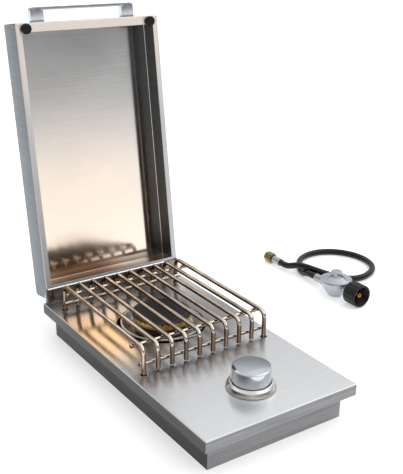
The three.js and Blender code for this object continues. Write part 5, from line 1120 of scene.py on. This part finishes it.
class SIDEBURNER_OT_regulator(bpy.types.Operator):
    """Make the regulator, its nipple and the tank nut"""

    bl_idname = "sideburner.regulator"
    bl_label = "Regulator"

    def execute(self, context):
        self.lower_casting()
        self.cover()
        self.nipple()
        self.tank_nut(context.scene.side_burner_sizes)
        return {"FINISHED"}

    def lower_casting(self):
        """Lower casting: a bowl with two round bosses, for the tank and for the hose."""
        work = lathed([
            (0, 0), (16, 0, 0.8), (16, 4.5, 2), (20.5, 7, 3), (29, 20, 8), (32, 29, 3), (33, 32.4, 0.8),
            (35, 32.8, 0.8), (35.2, 36, 0.7), (33, 36, 0.2), (0, 36)], 0.5,
            placed(REGULATOR_X, REGULATOR_Y, 0))
        boss = [(4, 16), (9, 16), (9, 35.5, 0.6), (8.2, 36.2, 0.3), (8.2, 37, 0.3), (9, 37.6, 0.4),
                (9, 40, 0.8), (4, 40, 0.5)]
        for height, turn in ((TANK_NUT_Z, 90), (OUTLET_Z, -90)):
            lathed(boss, 0.3, placed(REGULATOR_X, REGULATOR_Y, height, turn), FITTING_SIDES, True,
                   work=work)
        finished_work("regulator_lower_casting", work, "cast zinc", "regulator_body", sharp=40)

    def cover(self):
        """Upper casting: a cone with a boss in its middle, and three ribs from the boss down the cone."""
        work = lathed([
            (0, 36.3), (34.6, 36.3, 0.3), (35, 37, 0.4), (34.6, 39, 0.9), (32, 39, 0.5), (31.2, 38.6, 0.5),
            (30, 39.6, 0.8), (17.5, 46.4, 1.5), (14.2, 47.2, 0.7), (13.2, 47.2, 0.8), (12.2, 49, 0.5),
            (12.2, 55.6, 1.0), (11, 57, 1), (6.5, 57, 0.4), (6, 56.4, 0.3), (0, 56.4)], 0.5,
            placed(REGULATOR_X, REGULATOR_Y, 0))
        rib = eased([(11.5, 46), (28.5, 39.2), (29.5, 39.8), (13, 52), (11.5, 52.5)], 1.2, True)
        width = 2.2
        for index in range(3):
            spin = placed(REGULATOR_X, REGULATOR_Y, 0, 50 + 120 * index, "Z")
            prism(work, rib, width, spin @ along_y(-width / 2))
        finished_work("regulator_cover", work, "cast zinc", "regulator_bonnet", sharp=40)

    def nipple(self):
        """Turned brass nipple with the collar that the tank nut pulls on, and its bull nose."""
        _, high, length = span("tank_nipple", 1)
        work = lathed([
            (2.4, 0), (7.5, 0, 0.4), (7.5, 10.3, 0.3), (11, 10.5, 0.6), (11, 14.3, 0.6), (8.5, 15, 1),
            (6.3, 16.5, 1), (6.3, length - 6, 0.8), (5.4, length - 5, 0.6), (5.9, length - 3.6, 0.8),
            (4.6, length, 1), (2.4, length, 0.4)], 0.3,
            placed(REGULATOR_X, high, TANK_NUT_Z, 90), FITTING_SIDES, True)
        finished_work("tank_nipple_turned", work, "brass", "tank_nipple")

    def tank_nut(self, sizes):
        """Moulded hand nut: a cup with grip flutes, and a coarse thread in its mouth."""
        _, high, length = span("tank_nut", 1)
        pitch = 3
        thread = repeated([(20.2, 0, 0.2), (19.4, 0.8, 0.3), (19.4, 1.5, 0.3), (20.2, 2.3, 0.2)],
                          9, pitch, int((length - 12) / pitch))
        cup = lathed([
            (7.9, 0, 0.4), (21.5, 0, 2.5), (25, 3.5, 2.5), (25, length - 1.5, 1.2), (24, length, 0.8),
            (21.6, length, 0.6), (20.2, length - 1.6, 0.4), *reversed(thread), (20, 5, 1), (7.9, 5, 0.4)],
            0.3, closed=True, steps=3)
        mesh = grown(mesh_object("tank_nut_cup", cup), ring_cut_tree("bar"), {
            "Count": sizes.flute_count, "Ring radius": 26.9 * MM, "Height": length / 2 * MM,
            "Cut": (3.4 * MM, 3.4 * MM, (length + 10) * MM), "Finish": FINISHES["nylon"]})
        mesh.transform(placed(REGULATOR_X * MM, high * MM, TANK_NUT_Z * MM, 90))
        work = work_of(mesh)
        bmesh.ops.remove_doubles(work, verts=work.verts, dist=0.01)
        # The flutes' edges run along the nut, and were moulded round
        lengthwise = [edge for edge in sharp_edges(work, 30)
                      if abs((edge.verts[1].co - edge.verts[0].co).normalized().y) > 0.95]
        round_edges(work, lengthwise, 0.7)
        finished_work("tank_hand_nut", work, "nylon", "tank_nut", body="tank_nut", sharp=40)


class SIDEBURNER_OT_deck(bpy.types.Operator):
    """Make the folded deck plate with its holes and leg wells"""

    bl_idname = "sideburner.deck"
    bl_label = "Deck"

    def execute(self, context):
        sizes = context.scene.side_burner_sizes
        fold, sheet = sizes.deck_fold / MM, sizes.sheet / MM
        work = bmesh.new()
        skins = []
        for depth in (0, sheet):
            line = [(depth, APRON_BOTTOM), (depth, DECK_TOP - fold), *bend_in(fold, fold - depth, DECK_TOP),
                    (fold + 0.8, DECK_TOP - depth)]
            skins.append(skin(work, [
                rounded_ring(work, DECK_LEFT + inset, DECK_RIGHT - inset, DECK_FRONT + inset,
                             DECK_BACK - inset, 1.8 - inset, height) for inset, height in line]))
        bridge(work, skins[0][0], skins[1][0])

        under = DECK_TOP - sheet
        # Burner hole with its edge rolled down
        bend = 1.8
        rolled = [(85.6, DECK_TOP), (84.8, DECK_TOP)]
        rolled += [(84.8 - bend * math.sin(angle), DECK_TOP - bend + bend * math.cos(angle))
                   for angle in (0.4, 0.8, 1.2, math.pi / 2)]
        rolled += [(83, under - 1.6), (83.4, under - 1.9), (84.1, under - 1.9), (84.5, under - 1.5),
                   (84.5, under - 0.3), (85.6, under)]
        rims = [pressed_hole(work, 0, BURNER_Y, rolled)]
        for x, bore, sides in ((0, VALVE_STEM_BORE, SMALL_SIDES),
                               (-VALVE_SCREW_X, VALVE_SCREW_BORE, SCREW_HOLE_SIDES),
                               (VALVE_SCREW_X, VALVE_SCREW_BORE, SCREW_HOLE_SIDES)):
            rims.append(pressed_hole(work, x, KNOB_Y, [(bore, DECK_TOP), (bore, under)], sides))
        left = middle("grate_rod_01", 0)
        front, back = extent("grate_rod_01", 1)
        for x in (left, -left):
            for y in (front + 4, back - 4):
                rims.append([self.well(work, x, y, 0, DECK_TOP), self.well(work, x, y, 1.2, under)])
        tops, bottoms = zip(*rims)
        fill(work, skins[0][-1], *tops)
        fill(work, skins[1][-1], *bottoms)
        finished_work("folded_deck", work, "deck steel", "deck_plate", sharp=30)
        return {"FINISHED"}

    def well(self, work, x, y, depth, rim):
        """One skin of a pressed well with a soft lip, closed at its floor."""
        radius = 6 + depth
        profile = [(radius + 2, rim), (radius + 1.2, rim), (radius + 0.8, rim - 0.08),
                   (radius + 0.3, rim - 0.35), (radius, rim - 1), (radius, DECK_TOP - 7.2 - depth),
                   (radius - 0.3, DECK_TOP - 7.8 - depth), (radius - 1, DECK_TOP - 8 - depth)]
        top, floor = pressed_hole(work, x, y, profile, SMALL_SIDES)
        fill(work, floor)
        return top


class SIDEBURNER_OT_housing(bpy.types.Operator):
    """Make the housing under the deck with its vents"""

    bl_idname = "sideburner.housing"
    bl_label = "Housing"

    def execute(self, context):
        fold, sheet, lip, flange, top = 1.8, 1, 2, 12, extent("housing_box", 2)[1]
        work = bmesh.new()
        skins = []
        for depth in (0, sheet):
            # Each step is the inset from the sides, and the height
            line = [(fold, depth), *bend_up(fold, fold - depth, 0, 4), (depth, top - lip)]
            lip_radius = 1 + depth
            line += [(depth - lip_radius * (1 - math.cos(angle)) * (lip - depth) / lip_radius,
                      top - lip + (lip - (sheet - depth)) * math.sin(angle)) for angle in quarter_turn(4)]
            line.append((-flange, top - (sheet - depth)))
            rings = skin(work, [
                rounded_ring(work, HOUSING_LEFT + inset, HOUSING_RIGHT - inset, HOUSING_FRONT + inset,
                             HOUSING_BACK - inset, 1.6 - depth if inset >= 0 else 0.4, height)
                for inset, height in line])
            fill(work, rings[0])
            skins.append(rings)
        bridge(work, skins[0][-1], skins[1][-1])
        reach = 10
        work = drilled(work, INLET_BORE, 0, 2 * reach, placed(INLET_X, HOUSING_BACK - reach, INLET_Z, -90))
        mesh = grown(mesh_object("housing_tray", work), vent_tree(), {
            "Slot length": 0.05, "Slot width": 0.006, "Rows": 6, "Row pitch": 0.018, "Apart": 0.2,
            "Middle": (0, BURNER_Y * MM, sheet / 2 * MM), "Finish": FINISHES["housing steel"]})
        finished("vented_housing", mesh, "housing steel", "housing_box", sharp=30)
        return {"FINISHED"}


class SIDEBURNER_OT_hinge(bpy.types.Operator):
    """Make the hinge bracket and its rivets"""

    bl_idname = "sideburner.hinge"
    bl_label = "Hinge"

    def execute(self, context):
        (left, right), front = extent("hinge_bracket", 0), extent("hinge_bracket", 1)[0]
        bottom, top = extent("hinge_bracket", 2)
        sheet, foot = 1.5, 12
        work = bmesh.new()
        section = [(front, top, 0.4), (front, bottom, 2.2), (front + foot, bottom, 0.4),
                   (front + foot, bottom + sheet, 0.4), (front + sheet, bottom + sheet, 0.7),
                   (front + sheet, top, 0.4)]
        prism(work, eased(section, 0.4, True), right - left, along_x(left))
        # The upper edge of each ear is the tilted stop that the open lid leans on
        lean, reach = math.radians(9), 14.7
        stops = [(HINGE_Y + reach * math.sin(lean) + along * math.cos(lean),
                  HINGE_Z + reach * math.cos(lean) - along * math.sin(lean)) for along in (5, 0)]
        outline = [(front + 0.4, bottom + 0.4), (HINGE_Y + 6, bottom + 0.4, 1.5), (HINGE_Y + 6, HINGE_Z, 4),
                   (*stops[0], 1.2), (*stops[1], 0.8), (front + 0.4, top - 0.4)]
        pin = circle_points(HINGE_Y, HINGE_Z, HINGE_PIN_BORE)
        for x in (left, right - sheet):
            ear = bmesh.new()
            prism(ear, eased(outline, 0.3, True), sheet, along_x(x), [pin])
            absorb(work, ear)
        finished_work("folded_hinge_bracket", work, "hinge steel", "hinge_bracket", sharp=30)
        for side, way in LEFT_AND_RIGHT:
            node = f"hinge_rivet_{side}"
            low, high, length = span(node, 0)
            rivet = lathed([
                (0, 0), (2.6, 0, 0.5), (3.6, 0.5, 0.4), (3.6, 1.2, 0.2), (2.5, 1.2), (2.5, length - 1.2),
                (5, length - 1.2, 0.2), (4.8, length - 0.6, 0.6), (3, length, 1), (0, length)], 0.1,
                placed(low if way > 0 else high, HINGE_Y, HINGE_Z, 90 * way, "Y"), PIN_SIDES)
            finished_work(f"hinge_pin_{side}", rivet, "zinc", node)
        return {"FINISHED"}


class SIDEBURNER_OT_lid(bpy.types.Operator):
    """Make the lid tray with its flanges and hinge ears"""

    bl_idname = "sideburner.lid"
    bl_label = "Lid"

    def execute(self, context):
        sizes = context.scene.side_burner_sizes
        fold, sheet = sizes.lid_fold / MM, sizes.sheet / MM
        work = self.tray(fold, sheet)
        work = carved(work, self.seams())
        for part in work.faces:
            point, normal = part.calc_center_median(), part.normal
            outward = normal.x * point.x + normal.y * (point.y - (LID_FRONT + LID_BACK) / 2)
            if point.z < LID_RIM + sheet + 0.1:
                part.material_index = LID_FLANGE
            elif outward > 10 or point.z > LID_FACE - 0.8:
                part.material_index = LID_OUTSIDE
        pin = circle_points(0, 0, HINGE_PIN_BORE)
        crest = LID_FACE - fold
        outline = [(-16.6, LID_RIM), (5, LID_RIM, 3), (5, crest, 6), (-16.6, crest)]
        for x in (-LID_HALF, LID_HALF - sheet):
            ear = bmesh.new()
            prism(ear, eased(outline, 0, True, 8), sheet, along_x(x), [pin])
            for part in ear.faces:
                part.material_index = LID_OUTSIDE
            absorb(work, ear)
        bmesh.ops.transform(work, matrix=LID_PLACE, verts=work.verts)
        finished_work("folded_lid", work, ("lid steel", "flange steel", "outer steel"), "lid_shell",
                      body="lid", sharp=30)
        return {"FINISHED"}

    def tray(self, fold, sheet):
        """The folded tray: its flange, walls and face, with a round bend at each fold."""
        work = bmesh.new()
        skins = []
        for depth in (0, sheet):
            radius = fold - depth
            # Each step is the inset from the sides, the front and the back, and the height
            even = [(fold + 0.8, LID_RIM + depth), (fold, LID_RIM + depth), *bend_up(fold, radius, LID_RIM),
                    (depth, LID_FACE - fold), *bend_in(fold, radius, LID_FACE),
                    (fold + 0.8, LID_FACE - depth)]
            line = [(*LID_FLANGE_REACH, LID_RIM + depth)]
            line += [(inset, inset, inset, height) for inset, height in even]
            rings = skin(work, [
                rounded_ring(work, side - LID_HALF, LID_HALF - side, LID_FRONT + near, LID_BACK - far,
                             1.8 - side, height) for side, near, far, height in line])
            fill(work, rings[-1])
            skins.append(rings)
        bridge(work, skins[0][0], skins[1][0])
        return work

    def seams(self):
        """Cutters for the mitre seams where the folds of the flange meet."""
        work = bmesh.new()
        across, near, far = LID_FLANGE_REACH
        for x in (-1, 1):
            for edge, reach in ((LID_FRONT, near), (LID_BACK, -far)):
                inward = math.copysign(1, reach)
                start = Vector((x * (LID_HALF - 1.2), edge + 1.2 * inward, 0))
                end = Vector((x * (LID_HALF - across - 1), edge + reach + inward, 0))
                along = (end - start).normalized()
                side = Vector((-along.y, along.x, 0)) * 0.3
                points = [start - side, end - side, end + side, start + side]
                prism(work, points, 0.9, Matrix.Translation((0, 0, LID_RIM - 0.3)))
        return work


class SIDEBURNER_OT_handle(bpy.types.Operator):
    """Make the lid handle with its two screws"""

    bl_idname = "sideburner.handle"
    bl_label = "Handle"

    def execute(self, context):
        # Half its width, the width of a leg, how far it stands off the lid, and the grip's thickness
        half, leg, rise, grip = 109, 26, -27, 6
        # Its depth, and its place on the front of the closed lid
        depth, seat, low = 12, -517.8, 15.3
        bolt_x, bolt_seat = 96, -515.7
        outline = [(-half, 0), (-half, rise, 6), (half, rise, 6), (half, 0), (half - leg, 0),
                   (half - leg, rise + grip, 2), (leg - half, rise + grip, 2), (leg - half, 0)]
        work = bmesh.new()
        prism(work, eased(outline, 0, True, 8), depth, LID_PLACE @ placed(0, seat, low))
        bmesh.ops.recalc_face_normals(work, faces=work.faces)
        round_edges(work, sharp_edges(work, 60), 0.7)
        finished_work("bar_handle", work, "chrome", "lid_handle", body="lid", sharp=30)
        for side, way in LEFT_AND_RIGHT:
            place = LID_PLACE @ placed(way * bolt_x, bolt_seat, low + depth / 2, -90)
            bolt = lathed([
                (0, -12), (1.8, -12, 0.3), (2.2, -11.4, 0.2), (2.2, 0), (4.5, 0, 0.2), (4.4, 0.8, 0.5),
                (3, 2.2, 1.2), (0, 2.4)], 0.1, place, PIN_SIDES)
            recessed = carved(bolt, cross_recess(2.4, 0.4, place, 1.2, 45))
            finished_work(f"handle_bolt_{side}", recessed, "zinc", f"handle_screw_{side}", body="lid")
        return {"FINISHED"}


class SIDEBURNER_OT_bumpers(bpy.types.Operator):
    """Make the two rubber bumpers of the lid"""

    bl_idname = "sideburner.bumpers"
    bl_label = "Bumpers"

    def execute(self, context):
        across, near = 131, -506.5
        for side, way in LEFT_AND_RIGHT:
            work = lathed([
                (0, -14.3), (7.4, -14.3, 1), (9.3, -12.6, 1.6), (9.8, -8, 1), (9.8, -6.3, 0.4), (3, -6.3),
                (3, -4.2), (4.6, -4.2, 0.3), (3.2, -2.6, 0.4), (0, -2.2)], 0.2,
                LID_PLACE @ placed(way * across, near, 0), FITTING_SIDES)
            finished_work(f"rubber_bumper_{side}", work, "bumper rubber", f"lid_bumper_{side}", body="lid",
                          sharp=40)
        return {"FINISHED"}


class SIDEBURNER_OT_grate(bpy.types.Operator):
    """Make the welded rod grate"""

    bl_idname = "sideburner.grate"
    bl_label = "Grate"

    def execute(self, context):
        sizes = context.scene.side_burner_sizes
        outer = abs(middle("grate_rod_01", 0))
        pitch = 2 * outer / (sizes.rod_count - 1)
        crossing = [f"grate_cross_rod_{place}" for place in
                    ("upper_front", "upper_back", "lower_front", "lower_back")]
        self.long_rods(sizes, outer, pitch)
        self.cross_rods(crossing)
        self.beads([-outer + index * pitch for index in range(sizes.rod_count)], crossing)
        return {"FINISHED"}

    def long_rods(self, sizes, outer, pitch):
        """The row of bent rods. The outermost two have longer legs, that stand in the deck's wells."""
        radius = sizes.rod_radius / MM
        front, back = extent("grate_rod_01", 1)[0] + radius, extent("grate_rod_01", 1)[1] - radius
        level = extent("grate_rod_01", 2)[1] - radius
        outer_end, inner_end = extent("grate_rod_01", 2)[0], extent("grate_rod_02", 2)[0]
        work = bmesh.new()
        for end, count, apart in ((inner_end, sizes.rod_count - 2, pitch), (outer_end, 2, 2 * outer)):
            line = [(0, front, end), (0, front, level), (0, back, level), (0, back, end)]
            absorb(work, work_of(grown(line_object("rod_line", [line]), swept_rod_tree(), {
                "Rod radius": sizes.rod_radius, "Bend": sizes.rod_bend, "Count": count,
                "Pitch": apart * MM, "Finish": FINISHES["grate steel"]})))
        rods = [f"grate_rod_{number:02d}" for number in range(1, 11)]
        finished_work("grate_long_rods", work, "grate steel", *rods, body="grate", sharp=50)

    def cross_rods(self, crossing):
        """The straight rods that hold the bent ones together."""
        lines = []
        for node in crossing:
            (left, right), y, z = extent(node, 0), middle(node, 1), middle(node, 2)
            lines.append([(left, y, z), (right, y, z)])
        mesh = grown(line_object("cross_lines", lines), swept_rod_tree(), {
            "Rod radius": 3.5 * MM, "Bend": 0.0, "Count": 1, "Pitch": 0.0, "Finish": FINISHES["grate steel"]})
        finished("grate_cross_rods", mesh, "grate steel", *crossing, body="grate", sharp=50)

    def beads(self, columns, crossing):
        """Two weld beads wherever a cross rod touches a long rod, in the corner between them."""
        spots = bmesh.new()
        for x in columns:
            for node in crossing:
                y, z = middle(node, 1), middle(node, 2)
                if "upper" in node:
                    z += 3.2
                else:
                    y += 3.4 if y > BURNER_Y else -3.4
                ring(spots, [(x - 2.2, y, z), (x + 2.2, y, z)])
        mesh = grown(mesh_object("weld_spots", spots), bead_tree(), {
            "Bead": (2.3 * MM, 2.1 * MM, 1.9 * MM), "Finish": FINISHES["grate steel"]})
        finished("grate_weld_beads", mesh, "grate steel", body="grate", sharp=60)


class SIDEBURNER_OT_burner(bpy.types.Operator):
    """Make the burner head, cap, drip pan and electrode"""

    bl_idname = "sideburner.burner"
    bl_label = "Burner"

    def execute(self, context):
        self.head(context.scene.side_burner_sizes)
        self.cap()
        self.drip_pan()
        self.electrode()
        return {"FINISHED"}

    def head(self, sizes):
        """Brass ring with flame ports milled across its upper edge."""
        bottom, top = extent("burner_head", 2)
        work = lathed([
            (38, bottom, 0.3), (53.5, bottom, 0.5), (55, bottom + 1.5, 0.5), (54.6, bottom + 5, 1),
            (53, top, 0.4), (47, top, 0.3), (47, bottom + 3.7, 0.6), (38, bottom + 3.7, 0.4)], 0.3,
            closed=True, steps=3)
        mesh = grown(mesh_object("head_ring", work), ring_cut_tree("box"), {
            "Count": sizes.port_count, "Ring radius": 51 * MM, "Height": (top - 2 + 0.5) * MM,
            "Cut": (16 * MM, 2.4 * MM, 5 * MM), "Finish": FINISHES["brass"]})
        mesh.transform(Matrix.Translation((0, BURNER_Y * MM, 0)))
        finished("ported_burner_head", mesh, "brass", "burner_head", sharp=30)

    def cap(self):
        """Cast iron cap, domed, with a skirt that drops into the head."""
        low = extent("burner_cap", 2)[0]
        base = low + 3.6
        work = lathed([
            (0, base), (43.3, base, 0.3), (43.3, low, 0.3), (46.3, low, 0.5), (46.3, base, 0.5),
            (55.4, base, 0.4), (56, base + 0.6, 0.5), (55.6, base + 1.6, 0.8), (52, base + 3.4, 3),
            (34, base + 4.6, 14), (0, base + 5.6)], 0.3, placed(0, BURNER_Y, 0), steps=5)
        finished_work("cast_burner_cap", work, "cast iron", "burner_cap", body="cap")

    def drip_pan(self):
        """Pressed ring with a rolled rim, pierced for the electrode."""
        seat = PAN_SEAT
        work = lathed([
            (44.8, seat, 0.3), (53, seat, 2), (60.6, seat + 4, 3), (74.4, seat + 8.1, 2.5),
            (76.3, seat + 8.1, 0.8), (76.9, seat + 6.1, 0.3), (78, seat + 6.1, 0.3), (77.6, seat + 9.3, 1.6),
            (74.2, seat + 9.3, 3.5), (60, seat + 5.2, 3.5), (52.8, seat + 1.2, 2), (44.8, seat + 1.2, 0.3)],
            0.4, placed(0, BURNER_Y, 0), closed=True, steps=5)
        pierced = drilled(work, 6, 50, 90, placed(*ELECTRODE, 0))
        finished_work("pressed_drip_pan", pierced, "pan steel", "drip_pan")

    def electrode(self):
        """Ceramic insulator with its collar, and the bent spark wire."""
        low, high = extent("electrode_insulator", 2)
        insulator = lathed([
            (1.3, low, 0.3), (3.5, low, 0.6), (3.5, PAN_SEAT), (5.5, PAN_SEAT, 0.5), (5.5, 64, 0.8),
            (3.5, 64.2, 0.5), (3.5, high - 2, 0.6), (2.6, high, 0.5), (1.3, high, 0.2)], 0.2,
            placed(*ELECTRODE, 0), PIN_SIDES, True)
        finished_work("glazed_insulator", insulator, "ceramic", "electrode_insulator")
        radius, bend = 1.0, 2
        x, y = ELECTRODE
        foot = Vector((x, y, 0))
        inward = Vector((-x, BURNER_Y - y, 0)).normalized()
        rise = extent("electrode_tip", 2)[1] - 1.1
        points = [foot + Vector((0, 0, z)) for z in (high - 3, high, rise - bend)]
        points += [foot + Vector((0, 0, rise - bend + bend * math.sin(angle)))
                   + inward * bend * (1 - math.cos(angle)) for angle in quarter_turn(5)]
        points.append(points[-1] + inward * 0.6)
        finished_work("spark_wire", wire(points, radius), "zinc", "electrode_tip",
                      slot="polished_stainless", sharp=50)


class SIDEBURNER_OT_knob(bpy.types.Operator):
    """Make the control knob, its bezel and the valve's screws"""

    bl_idname = "sideburner.knob"
    bl_label = "Knob"

    def execute(self, context):
        place = placed(0, KNOB_Y, DECK_TOP)
        self.knob(place)
        self.bezel(place)
        for side, way in LEFT_AND_RIGHT:
            self.screw(f"bezel_screw_{side}", f"valve_screw_{side}", way * VALVE_SCREW_X)
        return {"FINISHED"}

    def knob(self, place):
        """Plated cup with a groove round its rim, on a hub. Its pointer is a flat across the rim."""
        work = lathed([
            (0, 33), (4.3, 33), (4.3, 13, 0.3), (9, 13, 0.4), (9, 35, 0.5), (29.8, 35, 1), (29.8, 9, 0.2),
            (32.2, 9, 0.4), (32.8, 9.8, 0.4), (32.8, 36.2, 0.15), (32.3, 36.5, 0.1), (32.3, 37, 0.1),
            (32.8, 37.3, 0.15), (32.8, 37.9, 0.4), (31.4, 39.2, 0.5), (29.8, 39.4, 0.5), (20, 40.1, 6),
            (10, 40.5, 5), (0, 40.6)], 0.2, place)
        # The flat's upper edge is chamfered, and its face is drawn black
        notch = bmesh.new()
        turn = place @ placed(0, 0, 0, 161, "Z")
        flat, width = 28.9, 16
        section = [(flat, 35), (40, 35), (40, 43), (26.9, 43), (26.9, 40.1), (flat, 38.1)]
        prism(notch, section, width, turn @ along_y(-width / 2))
        work = carved(work, notch)
        outward = (turn.to_3x3() @ Vector((1, 0, 0))).normalized()
        for part in work.faces:
            along = (part.calc_center_median() - turn.translation).dot(outward)
            if part.normal.dot(outward) > 0.98 and abs(along - flat) < 0.1:
                part.material_index = 1
        finished_work("turned_knob", work, ("knob chrome", "nylon"), "control_knob", body="knob", sharp=28)

    def bezel(self, place):
        """Pressed ring with a drawn rim, that the valve screws hold to the deck."""
        work = lathed([
            (7, 0.3, 0.1), (42.3, 0.3, 0.2), (42.5, 1.5, 0.5), (41.8, 4.2, 3), (39.4, 8.6, 5),
            (36.2, 12, 2.2), (34.9, 12.4, 0.6), (34.2, 11.8, 0.4), (34.2, 3.3, 0.8), (7, 3.3, 0.2)], 0.3,
            place, closed=True, steps=7)
        spots = [place @ placed(way * VALVE_SCREW_X, 0, -2) for _, way in LEFT_AND_RIGHT]
        pierced = drilled(work, VALVE_SCREW_BORE, 0, 10, *spots, sides=DRILL_SIDES)
        finished_work("pressed_bezel", pierced, "bezel chrome", "knob_bezel", sharp=32)

    def screw(self, name, node, x):
        """Round-headed screw with a cross recess, down through the bezel and the deck into the valve."""
        low, high = extent(node, 2)
        place = placed(x, KNOB_Y, 0)
        work = lathed([
            (0, low), (1.7, low, 0.3), (2, low + 0.8, 0.2), (2, high - 2.2), (3.6, high - 2.2, 0.2),
            (3.5, high - 1.2, 0.5), (2.4, high - 0.2, 1), (0, high)], 0.1, place, SCREW_SIDES)
        recessed = carved(work, cross_recess(1.9, 0.35, place, high - 1.1, 10))
        finished_work(name, recessed, "zinc", node)


class SIDEBURNER_OT_inlet(bpy.types.Operator):
    """Make the gas inlet at the back of the housing"""

    bl_idname = "sideburner.inlet"
    bl_label = "Gas inlet"

    def execute(self, context):
        low, _, length = span("inlet_fitting", 1)
        place = placed(INLET_X, low, INLET_Z, -90)
        wall = extent("housing_box", 1)[1] - 12 - low - 1.3
        pitch = 1.4
        thread = repeated([(7.4, 0.35), (8, 0.9)], wall + 1.3, pitch, int((length - wall - 3) / pitch))
        work = lathed([(4, 0, 0.4), (7.5, 0, 0.5), (7.5, 8.2), (8, 8.2), (8, wall + 1), *thread,
                       (7.3, length - 1), (6.4, length, 0.4), (4, length, 0.4)], 0, place,
                      FITTING_SIDES, True, 3)
        hex_nut(work, 11.5, wall - 8, 7.9, place @ placed(0, 0, 8))
        finished_work("threaded_inlet", work, "brass", "inlet_fitting", sharp=28)
        low, _, length = span("inlet_locknut", 1)
        nut = bmesh.new()
        hex_nut(nut, 12.5, length, INLET_BORE, placed(INLET_X, low, INLET_Z, -90))
        finished_work("chamfered_locknut", nut, "brass", "inlet_locknut", sharp=25)
        return {"FINISHED"}


class SIDEBURNER_OT_spring(bpy.types.Operator):
    """Make the coil spring that lifts the knob"""

    bl_idname = "sideburner.spring"
    bl_label = "Return spring"

    def execute(self, context):
        low, high = extent("return_spring", 2)
        wire_radius, coil_radius, turns, steps, travel = 0.4, 2.8, 3.4, 24, 3
        points = []
        for step in range(round(turns * steps) + 1):
            # The end turns lie flat
            share = min(max((step / steps - 0.7) / (turns - 1.4), 0), 1)
            angle = 2 * math.pi * step / steps
            points.append((coil_radius * math.cos(angle), KNOB_Y + coil_radius * math.sin(angle),
                           low + wire_radius + share * (high - low - 2 * wire_radius)))
        spring = finished_work("coiled_return_spring", wire(points, wire_radius, 12), "chrome",
                               "return_spring", body="valve_rotor", sharp=60)
        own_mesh(spring)
        return {"FINISHED"}


class SIDEBURNER_OT_inner_parts(bpy.types.Operator):
    """Give the pieces inside the housing their finishes"""

    bl_idname = "sideburner.inner_parts"
    bl_label = "Inner parts"

    def execute(self, context):
        finishes = {
            "burner_bowl": "cast iron", "burner_cradle": "zinc", "burner_screw": "zinc",
            "valve_body": "brass", "valve_cap": "zinc", "valve_plug": "brass",
            "valve_stem": "zinc", "gas_orifice": "brass", "mixing_tube": "zinc", "air_shutter": "zinc",
            "igniter_module": "nylon", "ignition_wire": "bumper rubber", "feed_pipe": "zinc",
            "pipe_nut": "brass", "flare_tail": "brass",
        }
        for node, finish in finishes.items():
            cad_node(node).data.materials.clear()
            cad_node(node).data.materials.append(FINISHES[finish])
        return {"FINISHED"}


class SIDEBURNER_PT_panel(bpy.types.Panel):
    """Lists the side burner's pieces and sizes"""

    bl_idname = "SIDEBURNER_PT_panel"
    bl_label = "Side burner"
    bl_space_type = "VIEW_3D"
    bl_region_type = "UI"
    bl_category = "Side burner"

    def draw(self, context):
        for operator in OPERATORS:
            self.layout.operator(operator.bl_idname)
        for group in (context.scene.side_burner_sizes, context.scene.side_burner_colours):
            for name in group.__annotations__:
                self.layout.prop(group, name)


OPERATORS = (
    SIDEBURNER_OT_stage, SIDEBURNER_OT_hose, SIDEBURNER_OT_regulator, SIDEBURNER_OT_deck,
    SIDEBURNER_OT_housing, SIDEBURNER_OT_hinge, SIDEBURNER_OT_lid, SIDEBURNER_OT_handle,
    SIDEBURNER_OT_bumpers, SIDEBURNER_OT_grate, SIDEBURNER_OT_burner, SIDEBURNER_OT_knob,
    SIDEBURNER_OT_inlet, SIDEBURNER_OT_spring, SIDEBURNER_OT_inner_parts,
)
CLASSES = (SideBurnerSizes, SideBurnerColours, *OPERATORS, SIDEBURNER_PT_panel)


def register():
    """Registers the classes and hangs the sizes and colours on the scene."""
    for cls in CLASSES:
        bpy.utils.register_class(cls)
    bpy.types.Scene.side_burner_sizes = bpy.props.PointerProperty(type=SideBurnerSizes)
    bpy.types.Scene.side_burner_colours = bpy.props.PointerProperty(type=SideBurnerColours)


def unregister():
    """Takes them away again."""
    del bpy.types.Scene.side_burner_sizes
    del bpy.types.Scene.side_burner_colours
    for cls in reversed(CLASSES):
        bpy.utils.unregister_class(cls)


def main():
    register()
    FINISHES.update(make_finishes(bpy.context.scene.side_burner_colours))
    for operator in OPERATORS:
        family, name = operator.bl_idname.split(".")
        getattr(getattr(bpy.ops, family), name)()
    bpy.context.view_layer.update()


if __name__ == "__main__":
    main()
